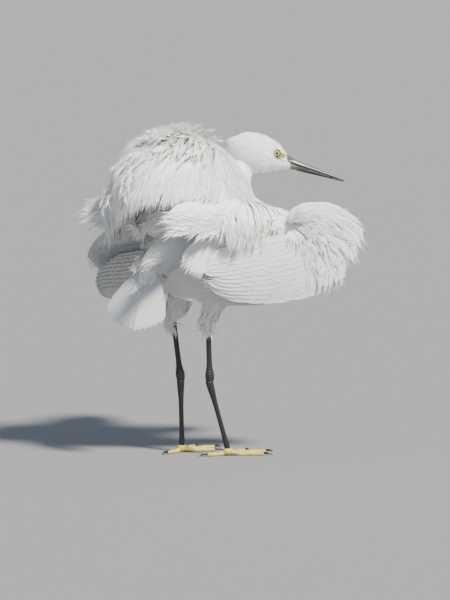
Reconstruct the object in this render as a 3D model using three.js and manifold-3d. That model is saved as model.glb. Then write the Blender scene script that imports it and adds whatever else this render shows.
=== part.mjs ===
// A life-size little egret that stands and ruffles its plumage: wings half open, neck folded back, tail
// pressed down. Bird frame while modelling: +X ahead of the breast, +Y to the bird's left, +Z up,
// millimetres, floor at z = 0.

import * as THREE from 'three';
import { mergeVertices } from 'three/addons/utils/BufferGeometryUtils.js';
import Module from 'manifold-3d';

const wasm = await Module();
wasm.setup();

// Gap that touching nodes keep, and the cube that trims away what lies under the floor.
const GAP = 0.3;
const FAR = 900;

// Driving sizes of the bird, in millimetres.
const TARSUS_TOP_Z = 100;
const SHANK_TOP_Z = 172;
const HIP_Z = 236;
const HALF_STANCE = 24;
const FEATHER_THICKNESS = 0.7;
const EYE_RADIUS = 5.2;
const EYE_SIDE = 9.2;
const BILL_TIP_X = 97;
const BILL_BASE_X = 9;
const MIDDLE_TOE = 56;
const CLAW_LENGTH = 11;

// Colours of the bare parts and the plumage.
const WHITE = 0xf4f4ef;
const BLACK_HORN = 0x26282b;
const LEG_BLACK = 0x2b2d2c;
const TOE_YELLOW = 0xc9b232;
const EYE_YELLOW = 0xd8d060;

// Repeatable draws for the small differences between feathers.
const DRAWS = { multiply: 1664525, add: 1013904223, range: 2 ** 32 };
let seed = 20417;
function draw(low, high) {
  seed = (seed * DRAWS.multiply + DRAWS.add) % DRAWS.range;
  return low + (high - low) * (seed / DRAWS.range);
}

const vec = (x, y, z) => new THREE.Vector3(x, y, z);
const mix = (a, b, t) => a + (b - a) * t;
const radians = THREE.MathUtils.degToRad;

// Closed triangles as a solid, turned outwards if they face in.
function solidOf(geometry) {
  const bare = new THREE.BufferGeometry();
  bare.setAttribute('position', geometry.getAttribute('position').clone());
  bare.setIndex(geometry.index.clone());
  const merged = mergeVertices(bare, 1e-4);
  const index = Array.from(merged.index.array);
  const p = merged.getAttribute('position');
  const kept = [];
  let volume = 0;
  const [a, b, c] = [vec(0, 0, 0), vec(0, 0, 0), vec(0, 0, 0)];
  for (let i = 0; i < index.length; i += 3) {
    const [i0, i1, i2] = index.slice(i, i + 3);
    if (i0 === i1 || i1 === i2 || i2 === i0) continue;
    kept.push(i0, i1, i2);
    a.fromBufferAttribute(p, i0);
    b.fromBufferAttribute(p, i1);
    c.fromBufferAttribute(p, i2);
    volume += a.dot(b.cross(c));
  }
  if (volume < 0) kept.reverse();
  return new wasm.Manifold(new wasm.Mesh({
    numProp: 3,
    vertProperties: new Float32Array(p.array),
    triVerts: new Uint32Array(kept),
  }));
}

// A solid as a geometry that a mesh can draw.
function geometryOf(solid) {
  const made = solid.getMesh();
  const geometry = new THREE.BufferGeometry();
  geometry.setAttribute('position', new THREE.BufferAttribute(new Float32Array(made.vertProperties), 3));
  geometry.setIndex(new THREE.BufferAttribute(new Uint32Array(made.triVerts), 1));
  geometry.computeVertexNormals();
  return geometry;
}

const boxVolume = (solid) => {
  const { min, max } = solid.boundingBox();
  return (max[0] - min[0]) * (max[1] - min[1]) * (max[2] - min[2]);
};

// The largest closed surface: loose scraps and sealed hollows go.
function largest(solid) {
  const parts = solid.decompose();
  return parts.reduce((best, next) => (boxVolume(next) > boxVolume(best) ? next : best));
}

const fuse = (solids) => largest(wasm.Manifold.union(solids));
const cutBy = (solid, others) => largest(wasm.Manifold.difference([solid, ...others]));
const inFrame = (solid, matrix) => solid.transform(matrix.elements);
const mirrorY = new THREE.Matrix4().makeScale(1, -1, 1);

// A rounded body along a smooth spine. Each station is [x, y, z, half width, half height]; "side" points
// across it, "blunt" is the share of the spine that rounds off at each end. "grow" thickens it all over,
// and makes the cutter that keeps a neighbour one gap away.
function body({ stations, around = 16, along = 12, side = vec(0, 1, 0), blunt = 0.18, grow = 0 }) {
  const spine = new THREE.CatmullRomCurve3(stations.map((s) => vec(s[0], s[1], s[2])), false, 'centripetal');
  const sizes = new THREE.CatmullRomCurve3(stations.map((s) => vec(s[3], s[4], 0)), false, 'catmullrom', 0.5);
  const sphere = new THREE.SphereGeometry(1, around, along);
  const p = sphere.getAttribute('position');
  const share = (v) => Math.sqrt(Math.max(0, 1 - (1 - Math.min(v / blunt, 1)) ** 2));
  for (let i = 0; i < p.count; i += 1) {
    const polar = Math.acos(THREE.MathUtils.clamp(p.getY(i), -1, 1));
    const turn = Math.atan2(p.getZ(i), p.getX(i));
    const t = THREE.MathUtils.clamp(mix(polar / Math.PI, (1 - Math.cos(polar)) / 2, 0.6), 0, 1);
    const ahead = spine.getTangent(t).normalize();
    const across = side.clone().addScaledVector(ahead, -side.dot(ahead)).normalize();
    const up = vec(0, 0, 0).crossVectors(ahead, across);
    const at = spine.getPoint(t);
    const size = sizes.getPoint(t);
    const round = share(t) * share(1 - t);
    const pole = t < 0.001 ? -grow : (t > 0.999 ? grow : 0);
    const ring = pole === 0 ? grow : 0;
    at.addScaledVector(across, (size.x * round + ring) * Math.cos(turn) * (pole === 0 ? 1 : 0));
    at.addScaledVector(up, (size.y * round + ring) * Math.sin(turn) * (pole === 0 ? 1 : 0));
    at.addScaledVector(ahead, pole);
    p.setXYZ(i, at.x, at.y, at.z);
  }
  return solidOf(sphere);
}

// A feather or lock as a thin closed blade. Its midline is a bezier from root through bend to tip, its flat
// side faces "face", and "widths" are its widths from root to tip. Both faces share the same diagonals.
function blade({ root, bend, tip, face, widths, thickness = FEATHER_THICKNESS }) {
  const line = new THREE.QuadraticBezierCurve3(root, bend, tip);
  const rows = widths.length;
  const corners = [[-0.5, 0.5], [0.5, 0.5], [-0.5, -0.5], [0.5, -0.5]];
  const positions = [];
  const index = [];
  for (let r = 0; r < rows; r += 1) {
    const t = r / (rows - 1);
    const ahead = line.getTangent(t).normalize();
    const normal = face.clone().addScaledVector(ahead, -face.dot(ahead)).normalize();
    const across = vec(0, 0, 0).crossVectors(ahead, normal);
    const thick = thickness * mix(1.25, 0.8, t);
    for (const [c, half] of corners) {
      const at = line.getPoint(t).addScaledVector(across, c * widths[r]);
      at.addScaledVector(normal, half * thick);
      positions.push(at.x, at.y, at.z);
    }
  }
  const id = (r, c) => r * corners.length + c;
  const quad = (a, b, c, d) => index.push(a, b, c, a, c, d);
  for (let r = 0; r < rows - 1; r += 1) {
    quad(id(r, 0), id(r, 1), id(r + 1, 1), id(r + 1, 0));
    quad(id(r, 2), id(r + 1, 2), id(r + 1, 3), id(r, 3));
    quad(id(r, 0), id(r + 1, 0), id(r + 1, 2), id(r, 2));
    quad(id(r, 1), id(r, 3), id(r + 1, 3), id(r + 1, 1));
  }
  quad(id(0, 0), id(0, 2), id(0, 3), id(0, 1));
  quad(id(rows - 1, 0), id(rows - 1, 1), id(rows - 1, 3), id(rows - 1, 2));
  const geometry = new THREE.BufferGeometry();
  geometry.setAttribute('position', new THREE.BufferAttribute(new Float32Array(positions), 3));
  geometry.setIndex(index);
  return solidOf(geometry);
}

// Outlines of the kinds of feather, as shares of their greatest width from root to tip.
const QUILL = [0.4, 0.95, 1, 0.44];
const ROUND = [0.6, 1, 0.5];
const LOCK = [0.7, 1, 0.75, 0.16];
const scaled = (shape, width) => shape.map((share) => share * width);

// Torso: from the rump to the breast, with its plumage fluffed.
const torsoShape = {
  stations: [
    [-66, 0, 262, 14, 16], [-44, 0, 262, 26, 30], [-10, 0, 262, 43, 47],
    [40, 0, 262, 52, 56], [90, 0, 266, 45, 47], [124, 0, 270, 22, 26],
  ],
  around: 18, along: 12,
};
const torsoWith = (grow) => body({ ...torsoShape, grow });
const torsoCutter = torsoWith(GAP);

// Neck: out of the breast, forward, up round the fold and back to the nape.
const NECK_FOLDS = [0.4, 0.68];
const neckShape = {
  stations: [
    [92, 0, 256, 26, 24], [134, 0, 245, 21, 21], [162, 0, 253, 18, 18], [171, 0, 277, 16, 17],
    [150, 0, 296, 17, 17], [115, 0, 306, 18, 18], [86, 0, 323, 20, 19],
    [74, -1, 350, 19, 21], [84, -2, 376, 17, 21],
  ],
  around: 12, along: 22, blunt: 0.04,
};
const neckWhole = body(neckShape);
const neckCutter = body({ ...neckShape, grow: GAP });
const neckSpine = new THREE.CatmullRomCurve3(
  neckShape.stations.map((s) => vec(s[0], s[1], s[2])), false, 'centripetal');

// A thin slab across a spine, big enough to part the body there and no more.
function slab(spine, t, width, thickness) {
  const at = spine.getPoint(t);
  const turn = new THREE.Quaternion().setFromUnitVectors(vec(0, 0, 1), spine.getTangent(t).normalize());
  const box = new THREE.BoxGeometry(width, width, thickness);
  box.applyQuaternion(turn);
  box.translate(at.x, at.y, at.z);
  return solidOf(box);
}
const neckSlabs = NECK_FOLDS.map((fold) => slab(neckSpine, fold, 44, GAP));
const neckParts = wasm.Manifold.difference([neckWhole, ...neckSlabs]).decompose()
  .sort((a, b) => a.boundingBox().max[2] - b.boundingBox().max[2]);

// Head group: its origin is between the eyes, its x axis lies along the bill.
const headGroup = new THREE.Group();
headGroup.position.set(118.6, -26, 388.4);
headGroup.rotation.set(0, radians(22), radians(-35), 'ZYX');
headGroup.updateMatrixWorld(true);
const toHead = headGroup.matrixWorld.clone().invert();

// Stations down the head's own length: [x, top, bottom, half width], from the nape to the chin feathers.
const headRows = [
  [-64, -6, -12, 3], [-57, 3, -24, 12], [-48, 9.2, -32, 17], [-37, 13.6, -36, 19], [-25, 15.8, -37, 19],
  [-14, 16.2, -34.5, 17.5], [-5, 14, -30, 15], [4, 9.6, -26, 12], [11, 5, -22, 9.3], [18, 0, -18.2, 7],
  [26, -5, -14.4, 4.4], [34, -9.4, -11.4, 1.6],
];
const headShape = {
  stations: headRows.map(([x, top, bottom, half]) => [x, 0, (top + bottom) / 2, half, (top - bottom) / 2]),
  around: 14, along: 14, blunt: 0.05,
};
const headWith = (grow) => body({ ...headShape, grow });

function ball(at, radius, grow = 0) {
  const sphere = new THREE.SphereGeometry(radius + grow, 12, 8);
  sphere.rotateX(Math.PI / 2);
  sphere.translate(at.x, at.y, at.z);
  return solidOf(sphere);
}

const eyeAt = (sign) => vec(0, sign * EYE_SIDE, 0);

// The lids: a low ring round each eye, cut open by the eye itself.
function lids(sign) {
  const ring = new THREE.TorusGeometry(4.6, 1.1, 4, 12);
  ring.rotateX(Math.PI / 2);
  ring.scale(1.08, 1, 0.94);
  ring.translate(0, sign * (EYE_SIDE + 2.5), 0);
  return solidOf(ring);
}

// Bill: two tapering blades that meet on the line of the mouth.
const billRows = (rows) => rows.map(([x, z, half, tall]) => [x, 0, z, half, tall]);
const upperBill = {
  stations: billRows([[BILL_BASE_X, -3.4, 5.4, 6.2], [25, -4.3, 4.5, 4.6], [45, -3.6, 3.5, 3.7],
    [70, -2.2, 2.4, 2.6], [88, -1.5, 1.3, 1.5], [BILL_TIP_X, -1.6, 0.35, 0.4]]),
  around: 8, along: 9, blunt: 0.03,
};
const lowerBill = {
  stations: billRows([[BILL_BASE_X, -9, 5, 6], [25, -8.6, 4.1, 4.9], [45, -6.6, 3.1, 3.9],
    [70, -3.9, 2.1, 2.5], [88, -2.6, 1.1, 1.2], [BILL_TIP_X - 1, -2.2, 0.3, 0.35]]),
  around: 8, along: 9, blunt: 0.03,
};

// The line of the mouth as a thin wedge of space between the two halves, from the gape to the tip.
function mouthHalf(above) {
  const shape = new THREE.Shape();
  const side = above ? 1 : -1;
  const line = [[-30, -8.2], [BILL_BASE_X, -7.4], [45, -4.9], [BILL_TIP_X + 8, -1.7]];
  const edge = line.map(([x, z]) => [x, z + (side * GAP) / 2]);
  shape.moveTo(...edge[0]);
  edge.slice(1).forEach((point) => shape.lineTo(...point));
  shape.lineTo(BILL_TIP_X + 8, side * 60);
  shape.lineTo(-30, side * 60);
  const block = new THREE.ExtrudeGeometry(shape, { depth: 60, bevelEnabled: false });
  block.rotateX(Math.PI / 2);
  block.translate(0, 30, 0);
  const bare = new THREE.BufferGeometry().setAttribute('position', block.getAttribute('position'));
  return solidOf(mergeVertices(bare));
}

// Nostril slits near the bill's root.
function nostril(sign) {
  return body({
    stations: [[16, sign * 4.6, -1.2, 1, 0.8], [26, sign * 4.1, -2.6, 1, 0.8]],
    around: 6, along: 5, blunt: 0.4,
  });
}

const upperSolid = cutBy(
  body(upperBill).intersect(mouthHalf(true)), [nostril(1), nostril(-1)]);
const lowerSolid = cutBy(body(lowerBill).intersect(mouthHalf(false)), []);
const billCutter = [body({ ...upperBill, grow: GAP }), body({ ...lowerBill, grow: GAP })];
const eyeSolid = (sign) => ball(eyeAt(sign), EYE_RADIUS);
const headSolid = cutBy(
  wasm.Manifold.union([headWith(0), lids(1), lids(-1)]),
  [...billCutter, ball(eyeAt(1), EYE_RADIUS, GAP), ball(eyeAt(-1), EYE_RADIUS, GAP)]);
const headCutter = inFrame(headWith(GAP), headGroup.matrixWorld);

const [neckLower, neckMiddle, neckUpper] = neckParts.map((piece) => cutBy(piece, [torsoCutter, headCutter]));

// Mantle: long back plumes and scapulars raised into a dome. A plume runs from the shoulders back over the
// dome: "front" and "rear" are angles along it from its front pole, "roll" goes round it from the top to
// either side.
const DOME = { centre: vec(-12, 0, 310), ahead: 104, across: 90, up: 108 };
// How much each plume tips sideways, so that it lies over one edge of the next.
const OVERLAP = 0.2;
const mantleCore = {
  stations: [
    [-76, 0, 300, 12, 12], [-44, 0, 312, 42, 34], [0, 0, 318, 54, 44], [40, 0, 318, 50, 42],
    [74, 0, 312, 22, 22],
  ],
  around: 12, along: 10,
};
function onDome(angle, roll, share) {
  const [a, r] = [radians(angle), radians(roll)];
  return vec(
    DOME.centre.x + DOME.ahead * share * Math.cos(a),
    DOME.centre.y - DOME.across * share * Math.sin(a) * Math.sin(r),
    DOME.centre.z + DOME.up * share * Math.sin(a) * Math.cos(r));
}
function plume({ front, rear, roll, rollEnd, low, high, width }) {
  const root = onDome(front, roll, low);
  const tip = onDome(rear, rollEnd, high);
  const middle = onDome(mix(front, rear, 0.5), mix(roll, rollEnd, 0.5), mix(low, high, 0.72));
  const bend = middle.clone().multiplyScalar(2).addScaledVector(root, -0.5).addScaledVector(tip, -0.5);
  const across = vec(0, -Math.cos(radians(roll)), -Math.sin(radians(roll)));
  const face = middle.clone().sub(DOME.centre).normalize().addScaledVector(across, OVERLAP);
  return blade({ root, bend, tip, face, widths: scaled(LOCK, width), thickness: 1 });
}

function mantlePlumes() {
  const made = [];
  // Rows from the nape to the rump. Each is a ring of plumes with "count" of them from side to side.
  const rows = [
    { front: 14, reach: 40, count: 6, spread: 76, high: 0.93 },
    { front: 36, reach: 42, count: 7, spread: 78, high: 0.97 },
    { front: 56, reach: 40, count: 7, spread: 78, high: 0.99 },
    { front: 76, reach: 38, count: 7, spread: 78, high: 1.01 },
    { front: 98, reach: 36, count: 6, spread: 78, high: 1.03 },
    { front: 120, reach: 34, count: 5, spread: 74, high: 1.01 },
  ];
  for (const { front, reach, count, spread, high } of rows) {
    for (let i = 0; i < count; i += 1) {
      const roll = mix(-spread, spread, i / (count - 1)) + draw(-1, 1);
      const crest = Math.cos(radians(roll)) > 0.6 ? draw(0, 0.06) : 0;
      made.push(plume({
        front: front + draw(-3, 3), rear: front + reach + draw(-4, 4), roll, rollEnd: roll + draw(-1.5, 1.5),
        low: 0.4, high: high + crest, width: draw(26, 30),
      }));
    }
  }
  return made;
}

// Scapulars: plumes from each shoulder that fall outside the wing's base, the hindmost the longest.
function scapulars(side) {
  const made = [];
  const count = 5;
  for (let i = 0; i < count; i += 1) {
    const t = i / (count - 1);
    made.push(blade({
      root: vec(mix(-6, 38, t), side * 44, 326),
      bend: vec(mix(-52, 22, t), side * 104, mix(326, 330, t)),
      tip: vec(mix(-102, -8, t), side * 92, mix(300, 290, t) + draw(-3, 3)),
      face: vec(OVERLAP, side, 0.35), widths: scaled(LOCK, draw(26, 30)), thickness: 1,
    }));
  }
  return made;
}

const mantleWhole = fuse([body(mantleCore), ...mantlePlumes(), ...scapulars(1), ...scapulars(-1)]);
const mantleSolid = cutBy(mantleWhole, [torsoCutter, neckCutter, headCutter]);
const mantleCutter = body({ ...mantleCore, grow: GAP });

// Wings, in a frame of their own: origin at the wrist, x back along the folded wing, y out from the body,
// z up.
const ELBOW_X = 112;
const forearm = {
  stations: [
    [-20, -1, -4, 3, 14], [-8, 0, 2, 7, 32], [30, 0, 8, 9, 34], [80, -2, 10, 9, 32], [112, -5, 2, 8, 24],
    [126, -8, -2, 3, 10],
  ],
  around: 8, along: 9, side: vec(0, 1, 0), blunt: 0.12,
};
const upperArm = {
  stations: [[84, -86, 14, 20, 20], [84, -70, 14, 22, 22], [96, -36, 8, 18, 20], [102, -8, 6, 8, 14]],
  around: 10, along: 7, side: vec(1, 0, 0), blunt: 0.1,
};
const hand = {
  stations: [[-4, 0, 8, 5, 10], [2, -3, -18, 6, 14], [8, -7, -44, 5, 12], [14, -8, -60, 2, 5]],
  around: 8, along: 6, side: vec(0, 1, 0), blunt: 0.2,
};

// Flight feathers lie in a stack: the tertials outermost, the longest primary nearest the body.
const STACK_STEP = 1.15;
// How much a covert tips sideways, so that each lies over one edge of the next.
const SHINGLE = 0.1;
function flightFeathers() {
  const made = [];
  const primaries = 8;
  for (let i = 0; i < primaries; i += 1) {
    const outer = i / (primaries - 1);
    const layer = -5.8 - i * STACK_STEP;
    const root = vec(mix(0, 8, outer), mix(-1, -9, outer), mix(-14, -50, outer));
    const reach = mix(190, 224, outer) + 16 * Math.sin(outer * Math.PI);
    const tip = vec(reach, layer, mix(-22, -56, outer ** 1.3));
    const bend = vec(reach * 0.52, layer + mix(1, -2, outer), mix(-34, -84, outer));
    made.push(blade({ root, bend, tip, face: vec(0, 1, 0), widths: scaled(QUILL, mix(25, 20, outer)) }));
  }
  const secondaries = 9;
  for (let i = 0; i < secondaries; i += 1) {
    const inner = i / (secondaries - 1);
    const layer = -4.2 + i * STACK_STEP;
    const root = vec(mix(10, 104, inner), mix(-1, -4, inner), mix(-14, -10, inner));
    const tip = vec(mix(146, 206, inner), layer, mix(-52, -14, inner));
    const bend = vec(mix(76, 150, inner), layer + 1, mix(-50, -26, inner));
    made.push(blade({ root, bend, tip, face: vec(0, 1, 0), widths: scaled(QUILL, 26) }));
  }
  const tertials = [[198, 13, -34, 28], [212, 11, -6, 26], [186, 15, -16, 26]];
  for (const [x, y, z, width] of tertials) {
    made.push(blade({
      root: vec(ELBOW_X - 8, -3, 4), bend: vec(mix(ELBOW_X, x, 0.5), y + 2, mix(6, z + 4, 0.3)),
      tip: vec(x, y, z), face: vec(0, 1, 0), widths: scaled(QUILL, width),
    }));
  }
  return made;
}

// Coverts spread like scales from the inner forearm towards the wrist, the front edge and the bend, in tiers.
const FAN = vec(74, 0, 26);
// How far the feathers reach from the fan's centre, by their direction in degrees from straight ahead, up
// positive.
const fanReach = new THREE.CatmullRomCurve3([
  vec(64, 24, 0), vec(36, 42, 0), vec(12, 82, 0), vec(0, 98, 0), vec(-30, 102, 0), vec(-58, 98, 0),
  vec(-78, 66, 0), vec(-100, 52, 0), vec(-125, 58, 0),
]);
function reachAt(angle) {
  let best = fanReach.getPoint(0);
  for (let k = 1; k <= 60; k += 1) {
    const next = fanReach.getPoint(k / 60);
    if (Math.abs(next.x - angle) < Math.abs(best.x - angle)) best = next;
  }
  return best.y;
}
function coverts() {
  const made = [];
  const tiers = [
    { share: 1, lift: 6, step: 16, from: -114, to: 34, length: 46, width: 24 },
    { share: 0.77, lift: 9.5, step: 19, from: -108, to: 44, length: 42, width: 22 },
    { share: 0.55, lift: 13, step: 26, from: -98, to: 32, length: 36, width: 21 },
    { share: 0.34, lift: 16, step: 40, from: -84, to: 36, length: 28, width: 19 },
  ];
  for (const { share, lift, step, from, to, length, width } of tiers) {
    for (let angle = from; angle <= to; angle += step) {
      const at = radians(angle + draw(-2, 2));
      const far = reachAt(angle) * share;
      const near = Math.max(far - length, 4);
      const out = (r, y) => vec(FAN.x - r * Math.cos(at), y, FAN.z + r * Math.sin(at));
      made.push(blade({
        root: out(near, 3), bend: out(mix(near, far, 0.55), lift + 2), tip: out(far, lift - 1 + draw(-1, 1)),
        face: vec(-SHINGLE * Math.sin(at), 1, -SHINGLE * Math.cos(at)),
        widths: scaled(ROUND, width + draw(-1.5, 1.5)),
      }));
    }
  }
  return made;
}
const wingLocal = fuse([body(forearm), body(hand), ...flightFeathers(), ...coverts()]);
const upperArmLocal = cutBy(body(upperArm), [body({ ...forearm, grow: GAP })]);

// The near wing is held forward, the far one wider and a little lower.
function wingFrame(wrist, backX, backY, droop) {
  const group = new THREE.Group();
  group.position.copy(wrist);
  group.rotation.set(0, radians(droop), Math.atan2(backY, backX), 'ZYX');
  group.updateMatrixWorld(true);
  return group;
}
const rightWingGroup = wingFrame(vec(140, -140, 277), -0.9, 0.43, 0);
const leftWingGroup = wingFrame(vec(126, 146, 279), -0.975, -0.222, 3);
function inWing(solid, group, mirrored) {
  const local = mirrored ? inFrame(solid, mirrorY) : solid;
  const inward = group.matrixWorld.clone().invert();
  return cutBy(local, [torsoCutter, mantleCutter, neckCutter].map((cutter) => inFrame(cutter, inward)));
}

// Tail: twelve feathers pressed down and spread, two of them apart from the rest, on a short root.
const tailGroup = new THREE.Group();
tailGroup.position.set(-58, 0, 258);
tailGroup.rotation.set(0, radians(-68), radians(14), 'ZYX');
tailGroup.updateMatrixWorld(true);
const tailRoot = {
  stations: [[16, 0, 0, 10, 10], [-8, 0, 0, 20, 11], [-30, 0, 0, 17, 6], [-40, 0, 0, 8, 3]],
  around: 10, along: 6,
};
const tailAngles = [-27, -22, -17, -12, -7, -2, 3, 8, 13, 20, 26, 32];
function tailFeathers() {
  return tailAngles.map((angle, i) => {
    const [a, centre] = [radians(angle), Math.abs(i - 5)];
    const layer = 3.6 - centre * STACK_STEP;
    const out = (r, z) => vec(-r * Math.cos(a), r * Math.sin(a), z);
    const length = 97 - centre * 0.8;
    return blade({
      root: out(18, 0), bend: out(60, layer + 4), tip: out(length, layer), face: vec(0, 0, 1),
      widths: scaled(QUILL, 22),
    });
  });
}
const tailCoverts = [-20, 0, 20].map((angle) => {
  const a = radians(angle);
  return blade({
    root: vec(-14, 0, 3), bend: vec(-34, 12 * Math.sin(a), 12), tip: vec(-56, 56 * Math.sin(a) * 0.6, 8),
    face: vec(0, 0, 1), widths: scaled(ROUND, 20),
  });
});

// Legs: a feathered thigh with a ragged hem, a bare shank, the ankle, a tarsus and four toes.
function legPlaces(side) {
  const near = side < 0;
  return {
    hip: vec(near ? 26 : 14, side * 30, HIP_Z),
    hem: vec(near ? 10 : -9, side * (HALF_STANCE + 2), SHANK_TOP_Z),
    ankle: vec(near ? 14.5 : 2, side * HALF_STANCE, near ? TARSUS_TOP_Z + 1 : TARSUS_TOP_Z - 1),
    foot: vec(near ? 43 : 13, side * (near ? HALF_STANCE : HALF_STANCE + 13), 7),
  };
}
function thighSolid(side) {
  const { hip, hem } = legPlaces(side);
  const core = body({
    stations: [[hip.x, hip.y, hip.z + 20, 22, 26], [hip.x, hip.y, hip.z - 6, 22, 28],
      [mix(hip.x, hem.x, 0.5), mix(hip.y, hem.y, 0.5), mix(hip.z, hem.z, 0.55), 15, 20],
      [hem.x, hem.y, hem.z + 8, 8, 9], [hem.x, hem.y, hem.z, 4.4, 4.4]],
    around: 10, along: 8, blunt: 0.08,
  });
  const hemLocks = [];
  const count = 6;
  for (let i = 0; i < count; i += 1) {
    const a = (i / count) * 2 * Math.PI + draw(-0.15, 0.15);
    const out = vec(Math.cos(a), Math.sin(a), 0);
    const at = (radius, z) => vec(hem.x, hem.y, z).addScaledVector(out, radius);
    const back = vec(-8 * (1 + Math.cos(a + Math.PI)), 0, 0);
    hemLocks.push(blade({
      root: at(6, hem.z + 36), bend: at(21, hem.z + 26).add(back),
      tip: at(draw(10, 15), hem.z + draw(-8, 6)).add(back),
      face: out, widths: scaled(LOCK, 14), thickness: 1,
    }));
  }
  return cutBy(fuse([core, ...hemLocks]), [torsoCutter]);
}
const shankShape = (side) => {
  const { hem, ankle } = legPlaces(side);
  const down = (t) => [mix(hem.x, ankle.x, t), mix(hem.y, ankle.y, t), mix(hem.z + 10, ankle.z, t)];
  return {
    stations: [
      [...down(0), 3.6, 3.8], [...down(0.3), 3.3, 3.5], [...down(0.75), 3.3, 3.8], [...down(0.93), 5, 6.2],
      [...down(1.04), 4.4, 5.4],
    ],
    around: 8, along: 10, blunt: 0.06,
  };
};
const tarsusShape = (side) => {
  const { ankle, foot } = legPlaces(side);
  const down = (t) => [mix(ankle.x, foot.x, t), mix(ankle.y, foot.y, t), mix(ankle.z - 6, foot.z, t)];
  return {
    stations: [
      [...down(-0.05), 4.6, 5.4], [...down(0.08), 4, 4.8], [...down(0.3), 2.9, 3.4],
      [...down(0.7), 2.8, 3.2], [...down(0.93), 3.4, 3.9], [...down(1.02), 3, 3],
    ],
    around: 8, along: 10, blunt: 0.06,
  };
};

// Foot, in a frame with its origin on the floor under the tarsus and x along the middle toe.
const toes = [
  { name: 'middle', angle: 0, length: MIDDLE_TOE, radius: 3 },
  { name: 'inner', angle: 31, length: 44, radius: 2.8 },
  { name: 'outer', angle: -29, length: 47, radius: 2.8 },
  { name: 'hind', angle: 172, length: 29, radius: 2.8 },
];
const TOE_AXIS_Z = 2.2;
function toeShape({ angle, length, radius }) {
  const a = radians(angle);
  const at = (r, z, w) => [r * Math.cos(a), r * Math.sin(a), z, radius * w, radius * w];
  return {
    stations: [
      at(-1, 5, 1.2), at(length * 0.2, 3.4, 1.05), at(length * 0.36, TOE_AXIS_Z, 1.12),
      at(length * 0.52, TOE_AXIS_Z, 0.88), at(length * 0.68, TOE_AXIS_Z, 1),
      at(length * 0.85, TOE_AXIS_Z, 0.76), at(length, TOE_AXIS_Z, 0.7),
    ],
    around: 6, along: 7, side: vec(-Math.sin(a), Math.cos(a), 0), blunt: 0.06,
  };
}
function clawShape({ angle, length }) {
  const a = radians(angle);
  const at = (r, z, w) => [r * Math.cos(a), r * Math.sin(a), z, w * 0.8, w];
  return {
    stations: [at(length - 3, 2.8, 1.5), at(length + CLAW_LENGTH * 0.3, 3.2, 1.5),
      at(length + CLAW_LENGTH * 0.7, 2.4, 0.95), at(length + CLAW_LENGTH, 0.9, 0.3)],
    around: 5, along: 4, side: vec(-Math.sin(a), Math.cos(a), 0), blunt: 0.08,
  };
}
const underFloor = (() => {
  const box = new THREE.BoxGeometry(FAR, FAR, FAR);
  box.translate(0, 0, -FAR / 2);
  return solidOf(box);
})();
const footPad = {
  stations: [[-7, 0, 5, 4.5, 4], [0, 0, 5.4, 5.6, 5.2], [8, 0, 4.6, 4.6, 4.2]],
  around: 8, along: 6, blunt: 0.3,
};
const footBare = fuse([body(footPad), ...toes.map((toe) => body(toeShape(toe)))]);
const footLocal = cutBy(footBare, [underFloor]);
const toeCutters = toes.map((toe) => body({ ...toeShape(toe), grow: GAP }));
const clawLocal = toes.map((toe, i) => cutBy(body(clawShape(toe)), [toeCutters[i], underFloor]));

// The model: named meshes in groups that carry their places.
const materials = {
  plumage: new THREE.MeshStandardMaterial({ color: WHITE, roughness: 0.85, metalness: 0 }),
  horn: new THREE.MeshStandardMaterial({ color: BLACK_HORN, roughness: 0.35, metalness: 0 }),
  leg: new THREE.MeshStandardMaterial({ color: LEG_BLACK, roughness: 0.5, metalness: 0 }),
  toe: new THREE.MeshStandardMaterial({ color: TOE_YELLOW, roughness: 0.55, metalness: 0 }),
  eye: new THREE.MeshStandardMaterial({ color: EYE_YELLOW, roughness: 0.08, metalness: 0 }),
};
const egret = new THREE.Group();
const bird = new THREE.Group();
egret.add(bird);
bird.add(headGroup, rightWingGroup, leftWingGroup, tailGroup);

function place(name, solid, material, parent = bird) {
  const mesh = new THREE.Mesh(geometryOf(solid), material);
  mesh.name = name;
  parent.add(mesh);
}

place('torso', torsoWith(0), materials.plumage);
place('mantle', mantleSolid, materials.plumage);
place('neck_lower', neckLower, materials.plumage);
place('neck_middle', neckMiddle, materials.plumage);
place('neck_upper', neckUpper, materials.plumage);

place('head', headSolid, materials.plumage, headGroup);
place('bill_upper', upperSolid, materials.horn, headGroup);
place('bill_lower', lowerSolid, materials.horn, headGroup);
place('eye_left', eyeSolid(1), materials.eye, headGroup);
place('eye_right', eyeSolid(-1), materials.eye, headGroup);

for (const [name, group, mirrored] of [['right', rightWingGroup, false], ['left', leftWingGroup, true]]) {
  place(`wing_${name}`, inWing(wingLocal, group, mirrored), materials.plumage, group);
  place(`upper_arm_${name}`, inWing(upperArmLocal, group, mirrored), materials.plumage, group);
}

const tailCut = inFrame(torsoCutter, tailGroup.matrixWorld.clone().invert());
const tailWhole = fuse([body(tailRoot), ...tailFeathers(), ...tailCoverts]);
place('tail', cutBy(tailWhole, [tailCut]), materials.plumage, tailGroup);

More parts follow.
